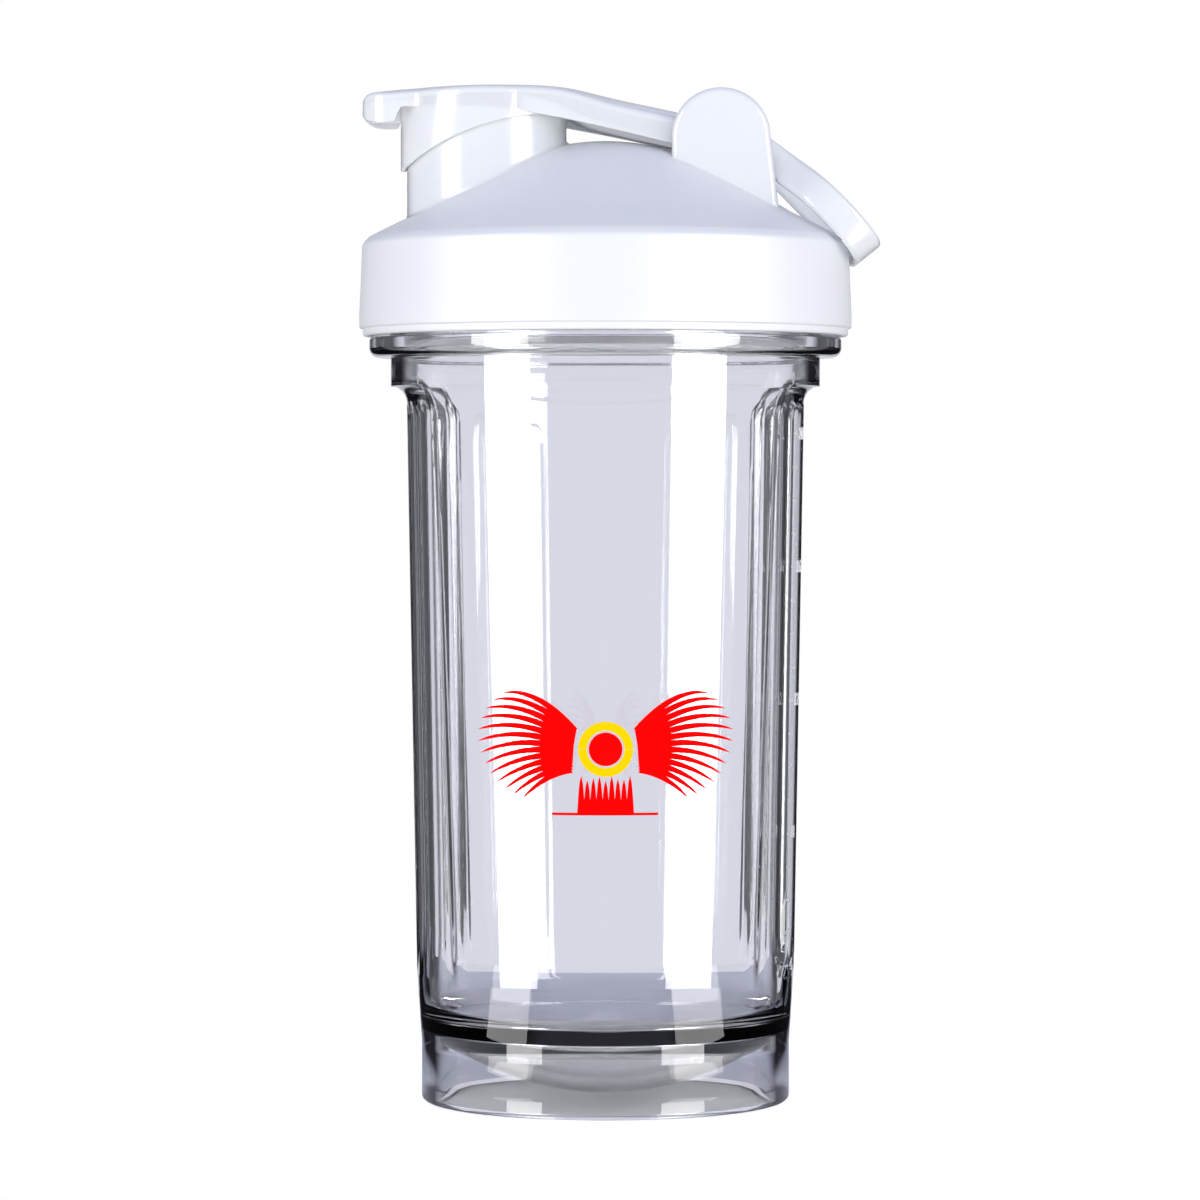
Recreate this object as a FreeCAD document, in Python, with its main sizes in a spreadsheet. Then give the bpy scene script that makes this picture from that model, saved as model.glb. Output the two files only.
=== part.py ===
import FreeCAD, Part
import math
import os
import re

import Sketcher
from FreeCAD import Placement, Rotation, Vector

# Protein shaker bottle, in millimetres. +Z is up the bottle's axis, the origin is the centre of the
# foot, the drinking spout is on the -X side and the hinge of the flip cap is on the +X side.

DIMENSIONS = {
    # how far cutting tools overshoot and fused solids overlap
    "cut_over": 5.0,
    "weld": 1.0,
    # clear cup
    "foot_radius": 37.45,
    "foot_wall": 2.8,
    "foot_height": 12.0,
    "grip_low": 26.0,
    "grip_high": 142.0,
    "grip_ledge": 145.0,
    "cone_radius_low": 38.4,
    "cone_radius_high": 43.65,
    "cup_wall": 2.7,
    "grip_radius_high": 40.4,
    "grip_step": 1.4,
    "grip_angle": 74.0,
    "lining_gap": 0.2,
    "lining_bend": 139.0,
    "lining_top": 148.0,
    "collar_radius": 48.0,
    "collar_low": 151.0,
    "collar_high": 154.9,
    "collar_round": 2.6,
    "neck_radius": 44.0,
    "neck_inner": 41.0,
    "rim_height": 169.9,
    "bowl_radius": 63.0,
    "bowl_edge": 33.0,
    "bowl_edge_height": 11.6,
    "bowl_wall": 3.0,
    "bowl_bottom": 1.2,
    # screw thread shared by the cup and the lid
    "thread_pitch": 5.0,
    "thread_base": 1.2,
    "thread_crest": 0.6,
    "thread_root": 0.4,
    "cup_thread_radius": 46.0,
    "cup_thread_start": 160.0,
    "cup_thread_rise": 6.0,
    "lid_thread_radius": 44.6,
    "lid_thread_start": 157.5,
    "lid_thread_rise": 5.0,
    # screw lid
    "lid_radius": 50.0,
    "lid_lip_radius": 49.3,
    "lid_bottom": 155.3,
    "lid_lip_top": 157.0,
    "lid_side_low": 161.0,
    "lid_side_top": 173.3,
    "lid_side_lean": 0.6,
    "lid_shoulder_radius": 47.2,
    "lid_shoulder_height": 175.5,
    "lid_crease_radius": 38.3,
    "lid_crease_height": 180.2,
    "dome_radius": 48.0,
    "dome_edge": 24.0,
    "dome_edge_height": 188.47,
    "dome_edge_cosine": 0.866,
    "apex_height": 194.9,
    "lid_bore": 46.8,
    "lid_ceiling": 172.2,
    "lid_wall": 2.4,
    "plug_ring_inner": 38.4,
    "plug_ring_outer": 40.2,
    "plug_ring_low": 162.0,
    # drinking spout
    "spout_offset": 24.1,
    "spout_radius": 16.2,
    "spout_bore": 14.8,
    "spout_low": 178.0,
    "spout_bore_low": 168.0,
    "spout_top": 201.2,
    # hinge
    "hinge_offset": 23.2,
    "hinge_height": 195.0,
    "ear_radius": 9.9,
    "ear_foot_offset": 34.9,
    "ear_foot_height": 176.5,
    "ear_root_height": 183.0,
    "ear_inner": 10.6,
    "ear_outer": 14.6,
    "pin_radius": 2.0,
    "pin_clearance": 0.05,
    "pin_blind": 13.0,
    "pin_proud": 0.3,
    # flip cap
    "cap_half_width": 17.0,
    "tab_half_width": 11.0,
    "cap_tip": 49.1,
    "cap_tip_low": 199.2,
    "cap_tip_top": 201.6,
    "cap_lip": 2.4,
    "cap_lip_low": 198.6,
    "cap_tab": 3.2,
    "cap_tab_low": 202.3,
    "cap_tab_top": 204.4,
    "cap_head_low": 203.0,
    "cap_head_top": 206.3,
    "cap_head_end": 7.0,
    "cap_arm_top": 205.7,
    "cap_arm": 3.0,
    "cap_arm_low": 198.5,
    "cap_under_radius": 90.0,
    "cap_arm_radius": 120.0,
    "cap_slope_radius": 80.0,
    "cap_crown_radius": 150.0,
    "cap_end": 14.5,
    "cap_end_half": 10.0,
    "cap_end_top": 200.7,
    "cap_plan_low": 190.0,
    "cap_plan_high": 210.0,
    "guard_radius": 17.5,
    "guard_bore": 16.65,
    "guard_low": 187.0,
    "guard_cut_radius": 58.8,
    "guard_cut_offset": 7.3,
    "guard_cut_height": 141.0,
    "plug_radius": 13.4,
    "plug_bore": 11.6,
    "plug_low": 197.8,
    "plug_top": 203.6,
    "plug_lead": 0.6,
    "cap_knuckle_radius": 4.9,
    "cap_knuckle_half": 5.2,
    # seals
    "spout_seal_inner": 12.6,
    "spout_seal_outer": 14.4,
    "spout_seal_low": 198.6,
    "spout_seal_high": 200.4,
    "spout_seal_lead": 0.4,
    "lid_seal_inner": 40.8,
    "lid_seal_outer": 45.5,
    "lid_seal_low": 170.2,
    "lid_seal_high": 171.9,
    # carry loop
    "loop_arc_radius": 110.85,
    "loop_arc_offset": 33.8,
    "loop_arc_height": 102.8,
    "loop_depth": 6.3,
    "loop_end_angle": 38.3,
    "loop_root_angle": 58.3,
    "loop_half_width": 20.5,
    "loop_band": 3.4,
    "loop_bar": 3.2,
    "loop_neck_inner": 5.6,
    "loop_neck_outer": 10.2,
    "loop_flare_start": 35.3,
    "loop_flare_end": 43.0,
    "loop_flare_shift": 1.0,
    "loop_plan_end": 83.2,
    "loop_plan_low": 150.0,
    "loop_plan_high": 220.0,
    "loop_knuckle_radius": 5.4,
    "loop_relief": 0.7,
    # mixing grid
    "grid_radius": 38.1,
    "grid_low": 163.0,
    "grid_thick": 2.0,
    "grid_collar_high": 169.0,
    "grid_collar_wall": 2.0,
    "grid_hole_radius": 2.6,
    "grid_hole_pitch": 8.0,
}

doc = FreeCAD.newDocument("shaker_bottle")
sheet = doc.addObject("Spreadsheet::Sheet", "Sizes")
for row, (alias, number) in enumerate(DIMENSIONS.items(), start=1):
    sheet.set(f"A{row}", alias.replace("_", " "))
    sheet.set(f"B{row}", str(number))
    sheet.setAlias(f"B{row}", alias)
doc.recompute()


def bound(formula):
    """The formula with each size word turned into a reference to its spreadsheet cell."""
    return re.sub(r"[a-z_]+", lambda word: "Sizes." + word.group(), str(formula))


def number_of(formula):
    """The present value of a formula of size words."""
    return float(sheet.evalExpression(bound(formula)))


def bind(item, **formulas):
    """Tie properties of an object to formulas of size words."""
    for name, formula in formulas.items():
        item.setExpression(name.replace("__", "."), bound(formula))
    return item


def signed_arc(start, end, radius):
    """Arc of a circle from start to end; a positive radius turns left, a negative one right."""
    chord = end - start
    middle = (start + end) * 0.5
    reach = math.sqrt(max(radius * radius - chord.Length ** 2 / 4, 0.0))
    side = Vector(-chord.y, chord.x, 0).normalize() * reach
    centre = middle + side if radius > 0 else middle - side
    first, last = (start, end) if radius > 0 else (end, start)
    angles = [math.atan2(point.y - centre.y, point.x - centre.x) for point in (first, last)]
    if angles[1] < angles[0]:
        angles[1] += 2 * math.pi
    circle = Part.Circle(centre, Vector(0, 0, 1), abs(radius))
    return Part.ArcOfCircle(circle, *angles)


def draw(sketch, outline):
    """Closed outline of (across, up[, arc radius to the next corner]) formulas, every one bound."""
    corners = [Vector(number_of(item[0]), number_of(item[1]), 0) for item in outline]
    heads = []
    for index, item in enumerate(outline):
        start = corners[index]
        end = corners[(index + 1) % len(outline)]
        if len(item) == 3:
            radius = number_of(item[2])
            sketch.addGeometry(signed_arc(start, end, radius), False)
            heads.append((1, 2) if radius > 0 else (2, 1))
        else:
            sketch.addGeometry(Part.LineSegment(start, end), False)
            heads.append((1, 2))
    for index, item in enumerate(outline):
        following = (index + 1) % len(outline)
        sketch.addConstraint(
            Sketcher.Constraint("Coincident", index, heads[index][1], following, heads[following][0]))
        for kind, axis, formula in (("DistanceX", -2, item[0]), ("DistanceY", -1, item[1])):
            size = number_of(formula)
            if abs(size) < 1e-9:
                sketch.addConstraint(Sketcher.Constraint("PointOnObject", index, heads[index][0], axis))
                continue
            place = sketch.addConstraint(
                Sketcher.Constraint(kind, -1, 1, index, heads[index][0], size))
            sketch.setExpression(f"Constraints[{place}]", bound(formula))
        if len(item) == 3:
            radius = number_of(item[2])
            place = sketch.addConstraint(Sketcher.Constraint("Radius", index, abs(radius)))
            sign = "" if radius > 0 else "-"
            sketch.setExpression(f"Constraints[{place}]", f"{sign}({bound(item[2])})")


def upright_sketch(name, outline):
    """Free sketch in the XZ plane."""
    sketch = doc.addObject("Sketcher::SketchObject", name)
    sketch.Placement = Placement(Vector(), Rotation(Vector(1, 0, 0), 90))
    draw(sketch, outline)
    return sketch


def flat_sketch(name, outline):
    """Free sketch in the XY plane."""
    sketch = doc.addObject("Sketcher::SketchObject", name)
    draw(sketch, outline)
    return sketch


def turned_body(name, outline):
    """Body made by turning an outline of (radius, height) formulas once about Z."""
    body = doc.addObject("PartDesign::Body", name)
    sketch = body.newObject("Sketcher::SketchObject", name + "_outline")
    plane = next(item for item in body.Origin.OriginFeatures if item.Role == "XZ_Plane")
    sketch.AttachmentSupport = (plane, [""])
    sketch.MapMode = "FlatFace"
    draw(sketch, outline)
    turn = body.newObject("PartDesign::Revolution", name + "_turn")
    turn.Profile = sketch
    turn.ReferenceAxis = (sketch, ["V_Axis"])
    turn.Angle = 360
    body.Tip = turn
    doc.recompute()
    return body


def cylinder(name, radius, height, place=(0, 0, 0), along_y=False):
    """Cylinder of bound radius and height whose first end's centre is at a bound place."""
    item = doc.addObject("Part::Cylinder", name)
    bind(item, Radius=radius, Height=height)
    if along_y:
        item.Placement = Placement(Vector(), Rotation(Vector(1, 0, 0), -90))
    place_at(item, place)
    return item


def box(name, low, high):
    """Box between two bound corners."""
    item = doc.addObject("Part::Box", name)
    spans = [f"({top}) - ({bottom})" for bottom, top in zip(low, high)]
    bind(item, Length=spans[0], Width=spans[1], Height=spans[2])
    place_at(item, low)
    return item


def place_at(item, place):
    """Tie an object's base point to three formulas."""
    for axis, formula in zip("xyz", place):
        item.setExpression(f"Placement.Base.{axis}", bound(formula))


def extruded(name, sketch, low, high, direction=Vector(0, 1, 0)):
    """Sketch pushed out both ways along a direction, from a low to a high bound distance."""
    item = doc.addObject("Part::Extrusion", name)
    item.Base = sketch
    item.DirMode = "Custom"
    item.Dir = direction
    item.Solid = True
    bind(item, LengthFwd=high, LengthRev=f"-({low})")
    return item


def fused(name, *items):
    item = doc.addObject("Part::MultiFuse", name)
    item.Shapes = list(items)
    return item


def common(name, *items):
    item = doc.addObject("Part::MultiCommon", name)
    item.Shapes = list(items)
    return item


def cut(name, base, *tools):
    item = doc.addObject("Part::Cut", name)
    item.Base = base
    item.Tool = tools[0] if len(tools) == 1 else fused(name + "_tools", *tools)
    return item


def thread(name, outline, radius, start, rise):
    """Right-handed ridge: an outline at a radius, swept up a helix."""
    helix = doc.addObject("Part::Helix", name + "_helix")
    bind(helix, Pitch="thread_pitch", Height=rise, Radius=radius)
    profile = upright_sketch(name + "_profile", outline)
    sweep = doc.addObject("Part::Sweep", name)
    sweep.Sections = [profile]
    sweep.Spine = (helix, ["Edge1"])
    sweep.Solid = True
    sweep.Frenet = True
    place_at(sweep, ("0", "0", start))
    return sweep


# ---------------------------------------------------------------- cup

FOOT_BORE = "foot_radius - foot_wall"


def make_cup():
    """Clear cup: foot skirt, bowl floor, two side grips, collar and threaded neck."""
    shell = turned_body("cup_shell", [
        (FOOT_BORE, "0"),
        ("foot_radius", "0"),
        ("foot_radius", "foot_height"),
        ("cone_radius_low", "grip_low"),
        ("cone_radius_high", "grip_ledge"),
        ("cone_radius_high", "collar_low"),
        ("collar_radius - collar_round", "collar_low", "collar_round"),
        ("collar_radius", "collar_low + collar_round"),
        ("collar_radius", "collar_high"),
        ("neck_radius", "collar_high"),
        ("neck_radius", "rim_height"),
        ("neck_inner", "rim_height"),
        ("neck_inner", "grip_ledge"),
        ("cone_radius_low - cup_wall", "grip_low"),
        ("bowl_edge", "bowl_edge_height + 2 * bowl_wall", "-bowl_radius"),
        ("0", "bowl_bottom + bowl_wall"),
        ("0", "bowl_bottom", "bowl_radius"),
        ("bowl_edge", "bowl_edge_height"),
        (FOOT_BORE, "bowl_edge_height"),
    ])
    recess = upright_sketch("grip_recess_outline", [
        ("cone_radius_low", "grip_low"),
        ("collar_radius", "grip_low"),
        ("collar_radius", "grip_ledge"),
        ("grip_radius_high + grip_step", "grip_ledge"),
        ("grip_radius_high", "grip_high"),
    ])
    lining = upright_sketch("grip_lining_outline", [
        ("cone_radius_low - cup_wall", "grip_low"),
        ("cone_radius_low - lining_gap", "grip_low"),
        ("cone_radius_high - lining_gap", "grip_ledge"),
        ("cone_radius_high - lining_gap", "lining_top"),
        ("neck_inner - 0.1 * lining_gap", "lining_top"),
        ("grip_radius_high - cup_wall", "lining_bend"),
    ])
    sectors = {}
    for purpose, sketch in (("recess", recess), ("lining", lining)):
        for side, turn in (("left", 180), ("right", 0)):
            sector = doc.addObject("Part::Revolution", f"grip_{purpose}_{side}")
            sector.Source = sketch
            sector.Axis = Vector(0, 0, 1)
            sector.Solid = True
            sector.Symmetric = True
            sector.setExpression("Angle", bound("grip_angle"))
            sector.Placement = Placement(Vector(), Rotation(Vector(0, 0, 1), turn))
            sectors[purpose, side] = sector
    ridge = thread("cup_thread", [
        ("neck_radius - thread_root", "-thread_base"),
        ("cup_thread_radius", "-thread_crest"),
        ("cup_thread_radius", "thread_crest"),
        ("neck_radius - thread_root", "thread_base"),
    ], "neck_radius", "cup_thread_start", "cup_thread_rise")
    lined = fused("cup_lined", shell, sectors["lining", "left"], sectors["lining", "right"], ridge)
    return cut("cup", lined, sectors["recess", "left"], sectors["recess", "right"])


# ---------------------------------------------------------------- lid

LID_OUTLINE = [
    ("0", "lid_bottom"),
    ("lid_lip_radius", "lid_bottom"),
    ("lid_lip_radius", "lid_lip_top"),
    ("lid_radius", "lid_lip_top"),
    ("lid_radius", "lid_side_low"),
    ("lid_radius - lid_side_lean", "lid_side_top", "lid_radius - lid_shoulder_radius"),
    ("lid_shoulder_radius", "lid_shoulder_height"),
    ("lid_crease_radius", "lid_crease_height"),
    ("dome_edge", "dome_edge_height", "dome_radius"),
    ("0", "apex_height"),
]


def make_lid():
    """Screw lid: domed shell, drinking spout, plug ring, inner thread and two hinge ears."""
    outside = turned_body("lid_outside", LID_OUTLINE)
    cavity = turned_body("lid_cavity", [
        ("0", "lid_bottom - cut_over"),
        ("lid_bore", "lid_bottom - cut_over"),
        ("lid_bore", "lid_ceiling"),
        ("plug_ring_outer", "lid_ceiling"),
        ("plug_ring_outer", "plug_ring_low"),
        ("plug_ring_inner", "plug_ring_low"),
        ("plug_ring_inner", "lid_crease_height - 2.8"),
        ("dome_edge * (1 - lid_wall / dome_radius)",
         "dome_edge_height - lid_wall * dome_edge_cosine", "dome_radius - lid_wall"),
        ("0", "apex_height - lid_wall"),
    ])
    spout_place = ("-spout_offset", "0", "spout_low")
    spout_height = "spout_top - spout_low"
    spout = cylinder("spout_wall", "spout_radius", spout_height, spout_place)
    bore = cylinder("spout_passage", "spout_bore", "spout_top + cut_over - spout_bore_low",
                    ("-spout_offset", "0", "spout_bore_low"))
    ear = upright_sketch("ear_outline", [
        ("hinge_offset - ear_radius", "ear_root_height"),
        ("ear_foot_offset", "ear_foot_height"),
        ("hinge_offset + ear_radius", "hinge_height", "ear_radius"),
        ("hinge_offset", "hinge_height + ear_radius", "ear_radius"),
        ("hinge_offset - ear_radius", "hinge_height"),
    ])
    near_ear = extruded("near_ear", ear, "ear_inner", "ear_outer", Vector(0, -1, 0))
    far_ear = extruded("far_ear", ear, "ear_inner", "ear_outer", Vector(0, 1, 0))
    pin_hole = cylinder("pin_hole", "pin_radius", "pin_blind + ear_outer + weld",
                        ("hinge_offset", "-pin_blind", "hinge_height"), along_y=True)
    ridge = thread("lid_thread", [
        ("lid_bore + thread_root", "-thread_base"),
        ("lid_bore + thread_root", "thread_base"),
        ("lid_thread_radius", "thread_crest"),
        ("lid_thread_radius", "-thread_crest"),
    ], "lid_bore", "lid_thread_start", "lid_thread_rise")
    solid = fused("lid_solid", outside, spout, near_ear, far_ear)
    threaded_cavity = cut("lid_threaded_cavity", cavity, ridge)
    return cut("lid", solid, threaded_cavity, bore, pin_hole)


def make_lid_seal():
    """Soft flat ring between the cup's rim and the lid's ceiling."""
    return turned_body("lid_seal", [
        ("lid_seal_inner", "lid_seal_low"),
        ("lid_seal_outer", "lid_seal_low"),
        ("lid_seal_outer", "lid_seal_high"),
        ("lid_seal_inner", "lid_seal_high"),
    ])


def make_hinge_pin():
    """Pin pressed through the far ear, where its end stands proud, and blind in the near one."""
    return cylinder("hinge_pin", "pin_radius", "pin_blind + ear_outer + pin_proud",
                    ("hinge_offset", "-pin_blind", "hinge_height"), along_y=True)


# ---------------------------------------------------------------- flip cap

def make_flip_cap():
    """Hinged cap: arm with thumb tab, guard round the spout, plug and centre knuckle."""
    side = upright_sketch("cap_side_outline", [
        ("-cap_tip", "cap_tip_low"),
        ("-cap_tip + cap_lip", "cap_lip_low"),
        ("-cap_tip + cap_tab", "cap_tab_low"),
        ("-spout_offset", "cap_head_low", "-cap_under_radius"),
        ("cap_arm", "cap_arm_low", "-cap_arm_radius"),
        ("cap_end", "hinge_height"),
        ("cap_end", "cap_end_top"),
        ("-cap_head_end", "cap_arm_top", "cap_slope_radius"),
        ("-spout_offset", "cap_head_top", "cap_crown_radius"),
        ("-cap_tip + cap_tab", "cap_tab_top"),
        ("-cap_tip", "cap_tip_top"),
    ])
    slab = extruded("cap_slab", side, "-cap_half_width", "cap_half_width")
    tab = box("cap_tab_plan", ("-cap_tip", "-tab_half_width", "cap_plan_low"),
              ("-spout_offset", "tab_half_width", "cap_plan_high"))
    head = cylinder("cap_head_plan", "guard_radius", "cap_plan_high - cap_plan_low",
                    ("-spout_offset", "0", "cap_plan_low"))
    arm_plan = flat_sketch("cap_arm_plan_outline", [
        ("-spout_offset", "-cap_half_width"),
        ("cap_end", "-cap_end_half"),
        ("cap_end", "cap_end_half"),
        ("-spout_offset", "cap_half_width"),
    ])
    arm = extruded("cap_arm_plan", arm_plan, "cap_plan_low", "cap_plan_high", Vector(0, 0, 1))
    plan = fused("cap_plan", tab, head, arm)
    plate = common("cap_plate", slab, plan)
    guard_height = "plug_top - guard_low"
    guard_out = cylinder("cap_guard_outside", "guard_radius", guard_height,
                         ("-spout_offset", "0", "guard_low"))
    guard_in = cylinder("cap_guard_bore", "guard_bore", f"{guard_height} + weld",
                        ("-spout_offset", "0", "guard_low - weld"))
    sweep = cylinder("cap_guard_sweep", "guard_cut_radius", "4 * cap_half_width",
                     ("-guard_cut_offset", "-2 * cap_half_width", "guard_cut_height"), along_y=True)
    guard = cut("cap_guard", guard_out, guard_in, sweep)
    plug = turned_body("cap_plug", [
        ("plug_bore", "plug_low"),
        ("plug_radius - plug_lead", "plug_low"),
        ("plug_radius", "spout_seal_low"),
        ("spout_seal_inner", "spout_seal_low"),
        ("spout_seal_inner", "spout_seal_high"),
        ("plug_radius", "spout_seal_high"),
        ("plug_radius", "plug_top"),
        ("plug_bore", "plug_top"),
    ])
    place_at(plug, ("-spout_offset", "0", "0"))
    knuckle = cylinder("cap_knuckle", "cap_knuckle_radius", "2 * cap_knuckle_half",
                       ("hinge_offset", "-cap_knuckle_half", "hinge_height"), along_y=True)
    tongue = box("cap_tongue", ("cap_end - weld", "-cap_knuckle_half", "hinge_height"),
                 ("hinge_offset", "cap_knuckle_half", "hinge_height + cap_knuckle_radius"))
    hole = cylinder("cap_pin_hole", "pin_radius + pin_clearance", "2 * (cap_knuckle_half + weld)",
                    ("hinge_offset", "-cap_knuckle_half - weld", "hinge_height"), along_y=True)
    solid = fused("cap_solid", plate, guard, plug, knuckle, tongue)
    return cut("flip_cap", solid, hole)


def make_spout_seal():
    """Soft ring in the plug's groove, which closes the spout."""
    seal = turned_body("spout_seal", [
        ("spout_seal_inner", "spout_seal_low"),
        ("spout_seal_outer - spout_seal_lead", "spout_seal_low"),
        ("spout_seal_outer", "0.5 * (spout_seal_low + spout_seal_high)"),
        ("spout_seal_outer - spout_seal_lead", "spout_seal_high"),
        ("spout_seal_inner", "spout_seal_high"),
    ])
    place_at(seal, ("-spout_offset", "0", "0"))
    return seal


# ---------------------------------------------------------------- carry loop

def loop_side_outline(extra_end):
    """Band between two arcs about a centre low on the -X side, seen along Y."""
    corners = []
    rows = (("-", "loop_root_angle", "loop_end_angle", "-"), ("+", "loop_end_angle", "loop_root_angle", ""))
    for sign, first, last, turn in rows:
        reach = f"(loop_arc_radius {sign} loop_depth / 2)"
        for angle, arc in ((first, f"{turn}{reach}"), (last, None)):
            shift = f" - {extra_end}" if angle == "loop_end_angle" else ""
            degrees = number_of(f"{angle}{shift}")
            across = f"{reach} * {math.cos(math.radians(degrees)):.6f} - loop_arc_offset"
            height = f"{reach} * {math.sin(math.radians(degrees)):.6f} + loop_arc_height"
            corners.append((across, height, arc) if arc else (across, height))
    return corners


def make_carry_loop():
    """D-shaped band that swings on the hinge pin, bent to follow the dome and clear the shoulder."""
    band_side = upright_sketch("loop_side", loop_side_outline(0))
    band = extruded("loop_band_slab", band_side, "-loop_half_width", "loop_half_width")
    outer_plan = flat_sketch("loop_outer_plan", [
        ("0", "-loop_neck_outer"),
        ("loop_flare_start", "-loop_neck_outer"),
        ("loop_flare_end", "-loop_half_width"),
        ("loop_plan_end", "-loop_half_width"),
        ("loop_plan_end", "loop_half_width"),
        ("loop_flare_end", "loop_half_width"),
        ("loop_flare_start", "loop_neck_outer"),
        ("0", "loop_neck_outer"),
    ])
    inner_plan = flat_sketch("loop_inner_plan", [
        ("0", "-loop_neck_inner"),
        ("loop_flare_start + loop_flare_shift", "-loop_neck_inner"),
        ("loop_flare_end + loop_flare_shift", "-loop_half_width + loop_band"),
        ("loop_plan_end", "-loop_half_width + loop_band"),
        ("loop_plan_end", "loop_half_width - loop_band"),
        ("loop_flare_end + loop_flare_shift", "loop_half_width - loop_band"),
        ("loop_flare_start + loop_flare_shift", "loop_neck_inner"),
        ("0", "loop_neck_inner"),
    ])
    up = Vector(0, 0, 1)
    outer = extruded("loop_outer_prism", outer_plan, "loop_plan_low", "loop_plan_high", up)
    inner = extruded("loop_inner_prism", inner_plan, "loop_plan_low", "loop_plan_high", up)
    bar_turn = math.degrees(number_of("loop_bar / loop_arc_radius"))
    end_side = number_of("loop_end_angle") + bar_turn
    end_turn = Rotation(Vector(0, 1, 0), -end_side)
    arc_centre = Vector(-number_of("loop_arc_offset"), 0, number_of("loop_arc_height"))
    end_box = doc.addObject("Part::Box", "loop_bar_space")
    bind(end_box, Length="1.5 * loop_arc_radius", Width="3 * loop_half_width", Height="loop_half_width")
    corner = Vector(0, -1.5 * number_of("loop_half_width"), -number_of("loop_half_width"))
    end_box.Placement = Placement(arc_centre + end_turn.multVec(corner), end_turn)
    opening = cut("loop_opening", inner, end_box)
    relief = turned_body("lid_clear_space", [
        ("0", "lid_bottom"),
        ("lid_radius + loop_relief", "lid_bottom"),
        ("lid_radius + loop_relief", "lid_side_top"),
        ("lid_shoulder_radius + loop_relief", "lid_shoulder_height + loop_relief"),
        ("lid_crease_radius + loop_relief / 2", "lid_crease_height + loop_relief"),
        ("0", "apex_height + 4 * loop_relief"),
    ])
    trimmed = common("loop_trimmed", band, outer)
    knuckles = [
        cylinder(f"loop_knuckle_{side}", "loop_knuckle_radius", "loop_neck_outer - loop_neck_inner",
                 ("hinge_offset", place, "hinge_height"), along_y=True)
        for side, place in (("near", "-loop_neck_outer"), ("far", "loop_neck_inner"))]
    hole = cylinder("loop_pin_hole", "pin_radius + pin_clearance", "2 * ear_outer",
                    ("hinge_offset", "-ear_outer", "hinge_height"), along_y=True)
    ring = cut("loop_ring", trimmed, opening, relief)
    return cut("carry_loop", fused("loop_solid", ring, *knuckles), hole)


# ---------------------------------------------------------------- mixing grid

GRID_RINGS = 4
HOLES_IN_FIRST_RING = 6


def make_mixing_grid():
    """Round perforated plate with an upstand that snaps inside the lid's plug ring."""
    body = turned_body("mixing_grid", [
        ("0", "grid_low"),
        ("grid_radius", "grid_low"),
        ("grid_radius", "grid_collar_high"),
        ("grid_radius - grid_collar_wall", "grid_collar_high"),
        ("grid_radius - grid_collar_wall", "grid_low + grid_thick"),
        ("0", "grid_low + grid_thick"),
    ])
    plane = next(item for item in body.Origin.OriginFeatures if item.Role == "XY_Plane")
    axis = next(item for item in body.Origin.OriginFeatures if item.Role == "Z_Axis")
    for ring in range(1, GRID_RINGS + 1):
        circle = body.newObject("Sketcher::SketchObject", f"grid_hole_outline_{ring}")
        circle.AttachmentSupport = (plane, [""])
        circle.MapMode = "FlatFace"
        place = Vector(number_of(f"{ring} * grid_hole_pitch"), 0, 0)
        circle.addGeometry(Part.Circle(place, Vector(0, 0, 1), number_of("grid_hole_radius")), False)
        size = circle.addConstraint(Sketcher.Constraint("Radius", 0, number_of("grid_hole_radius")))
        circle.setExpression(f"Constraints[{size}]", bound("grid_hole_radius"))
        circle.addConstraint(Sketcher.Constraint("PointOnObject", 0, 3, -1))
        reach = circle.addConstraint(Sketcher.Constraint("DistanceX", -1, 1, 0, 3, place.x))
        circle.setExpression(f"Constraints[{reach}]", bound(f"{ring} * grid_hole_pitch"))
        pocket = body.newObject("PartDesign::Pocket", f"grid_hole_{ring}")
        pocket.Profile = circle
        pocket.Type = "ThroughAll"
        pocket.Midplane = True
        pattern = body.newObject("PartDesign::PolarPattern", f"grid_holes_{ring}")
        pattern.Originals = [pocket]
        pattern.Axis = (axis, [""])
        pattern.Angle = 360
        pattern.Occurrences = HOLES_IN_FIRST_RING * ring
        body.Tip = pattern
        doc.recompute()
    return body


PIECES = {
    "cup": make_cup,
    "lid": make_lid,
    "lid_seal": make_lid_seal,
    "hinge_pin": make_hinge_pin,
    "flip_cap": make_flip_cap,
    "spout_seal": make_spout_seal,
    "carry_loop": make_carry_loop,
    "mixing_grid": make_mixing_grid,
}

pieces = {}
for node, make in PIECES.items():
    piece = make()
    piece.Label = node
    pieces[node] = piece

doc.recompute()
for item in doc.Objects:
    if "Invalid" in item.State or "Error" in item.State:
        raise RuntimeError(f"{item.Name} did not compute: {item.State}")
for node, piece in pieces.items():
    if piece.Shape.isNull() or not piece.Shape.isValid():
        raise RuntimeError(f"{node} has no valid shape")

os.makedirs("parts", exist_ok=True)
for node, piece in pieces.items():
    piece.Shape.exportStep(f"parts/{node}.step")
    span = piece.Shape.BoundBox
    print(node, f"{piece.Shape.Volume:.0f} mm3", len(piece.Shape.Solids), "solid",
          f"x {span.XMin:.1f}..{span.XMax:.1f}", f"y {span.YMin:.1f}..{span.YMax:.1f}",
          f"z {span.ZMin:.1f}..{span.ZMax:.1f}")
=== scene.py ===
"""Protein shaker bottle: a clear cup under a white screw lid with a covered spout and a carry loop."""

import math

import bmesh
import bpy
from mathutils import Matrix, Vector


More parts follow.
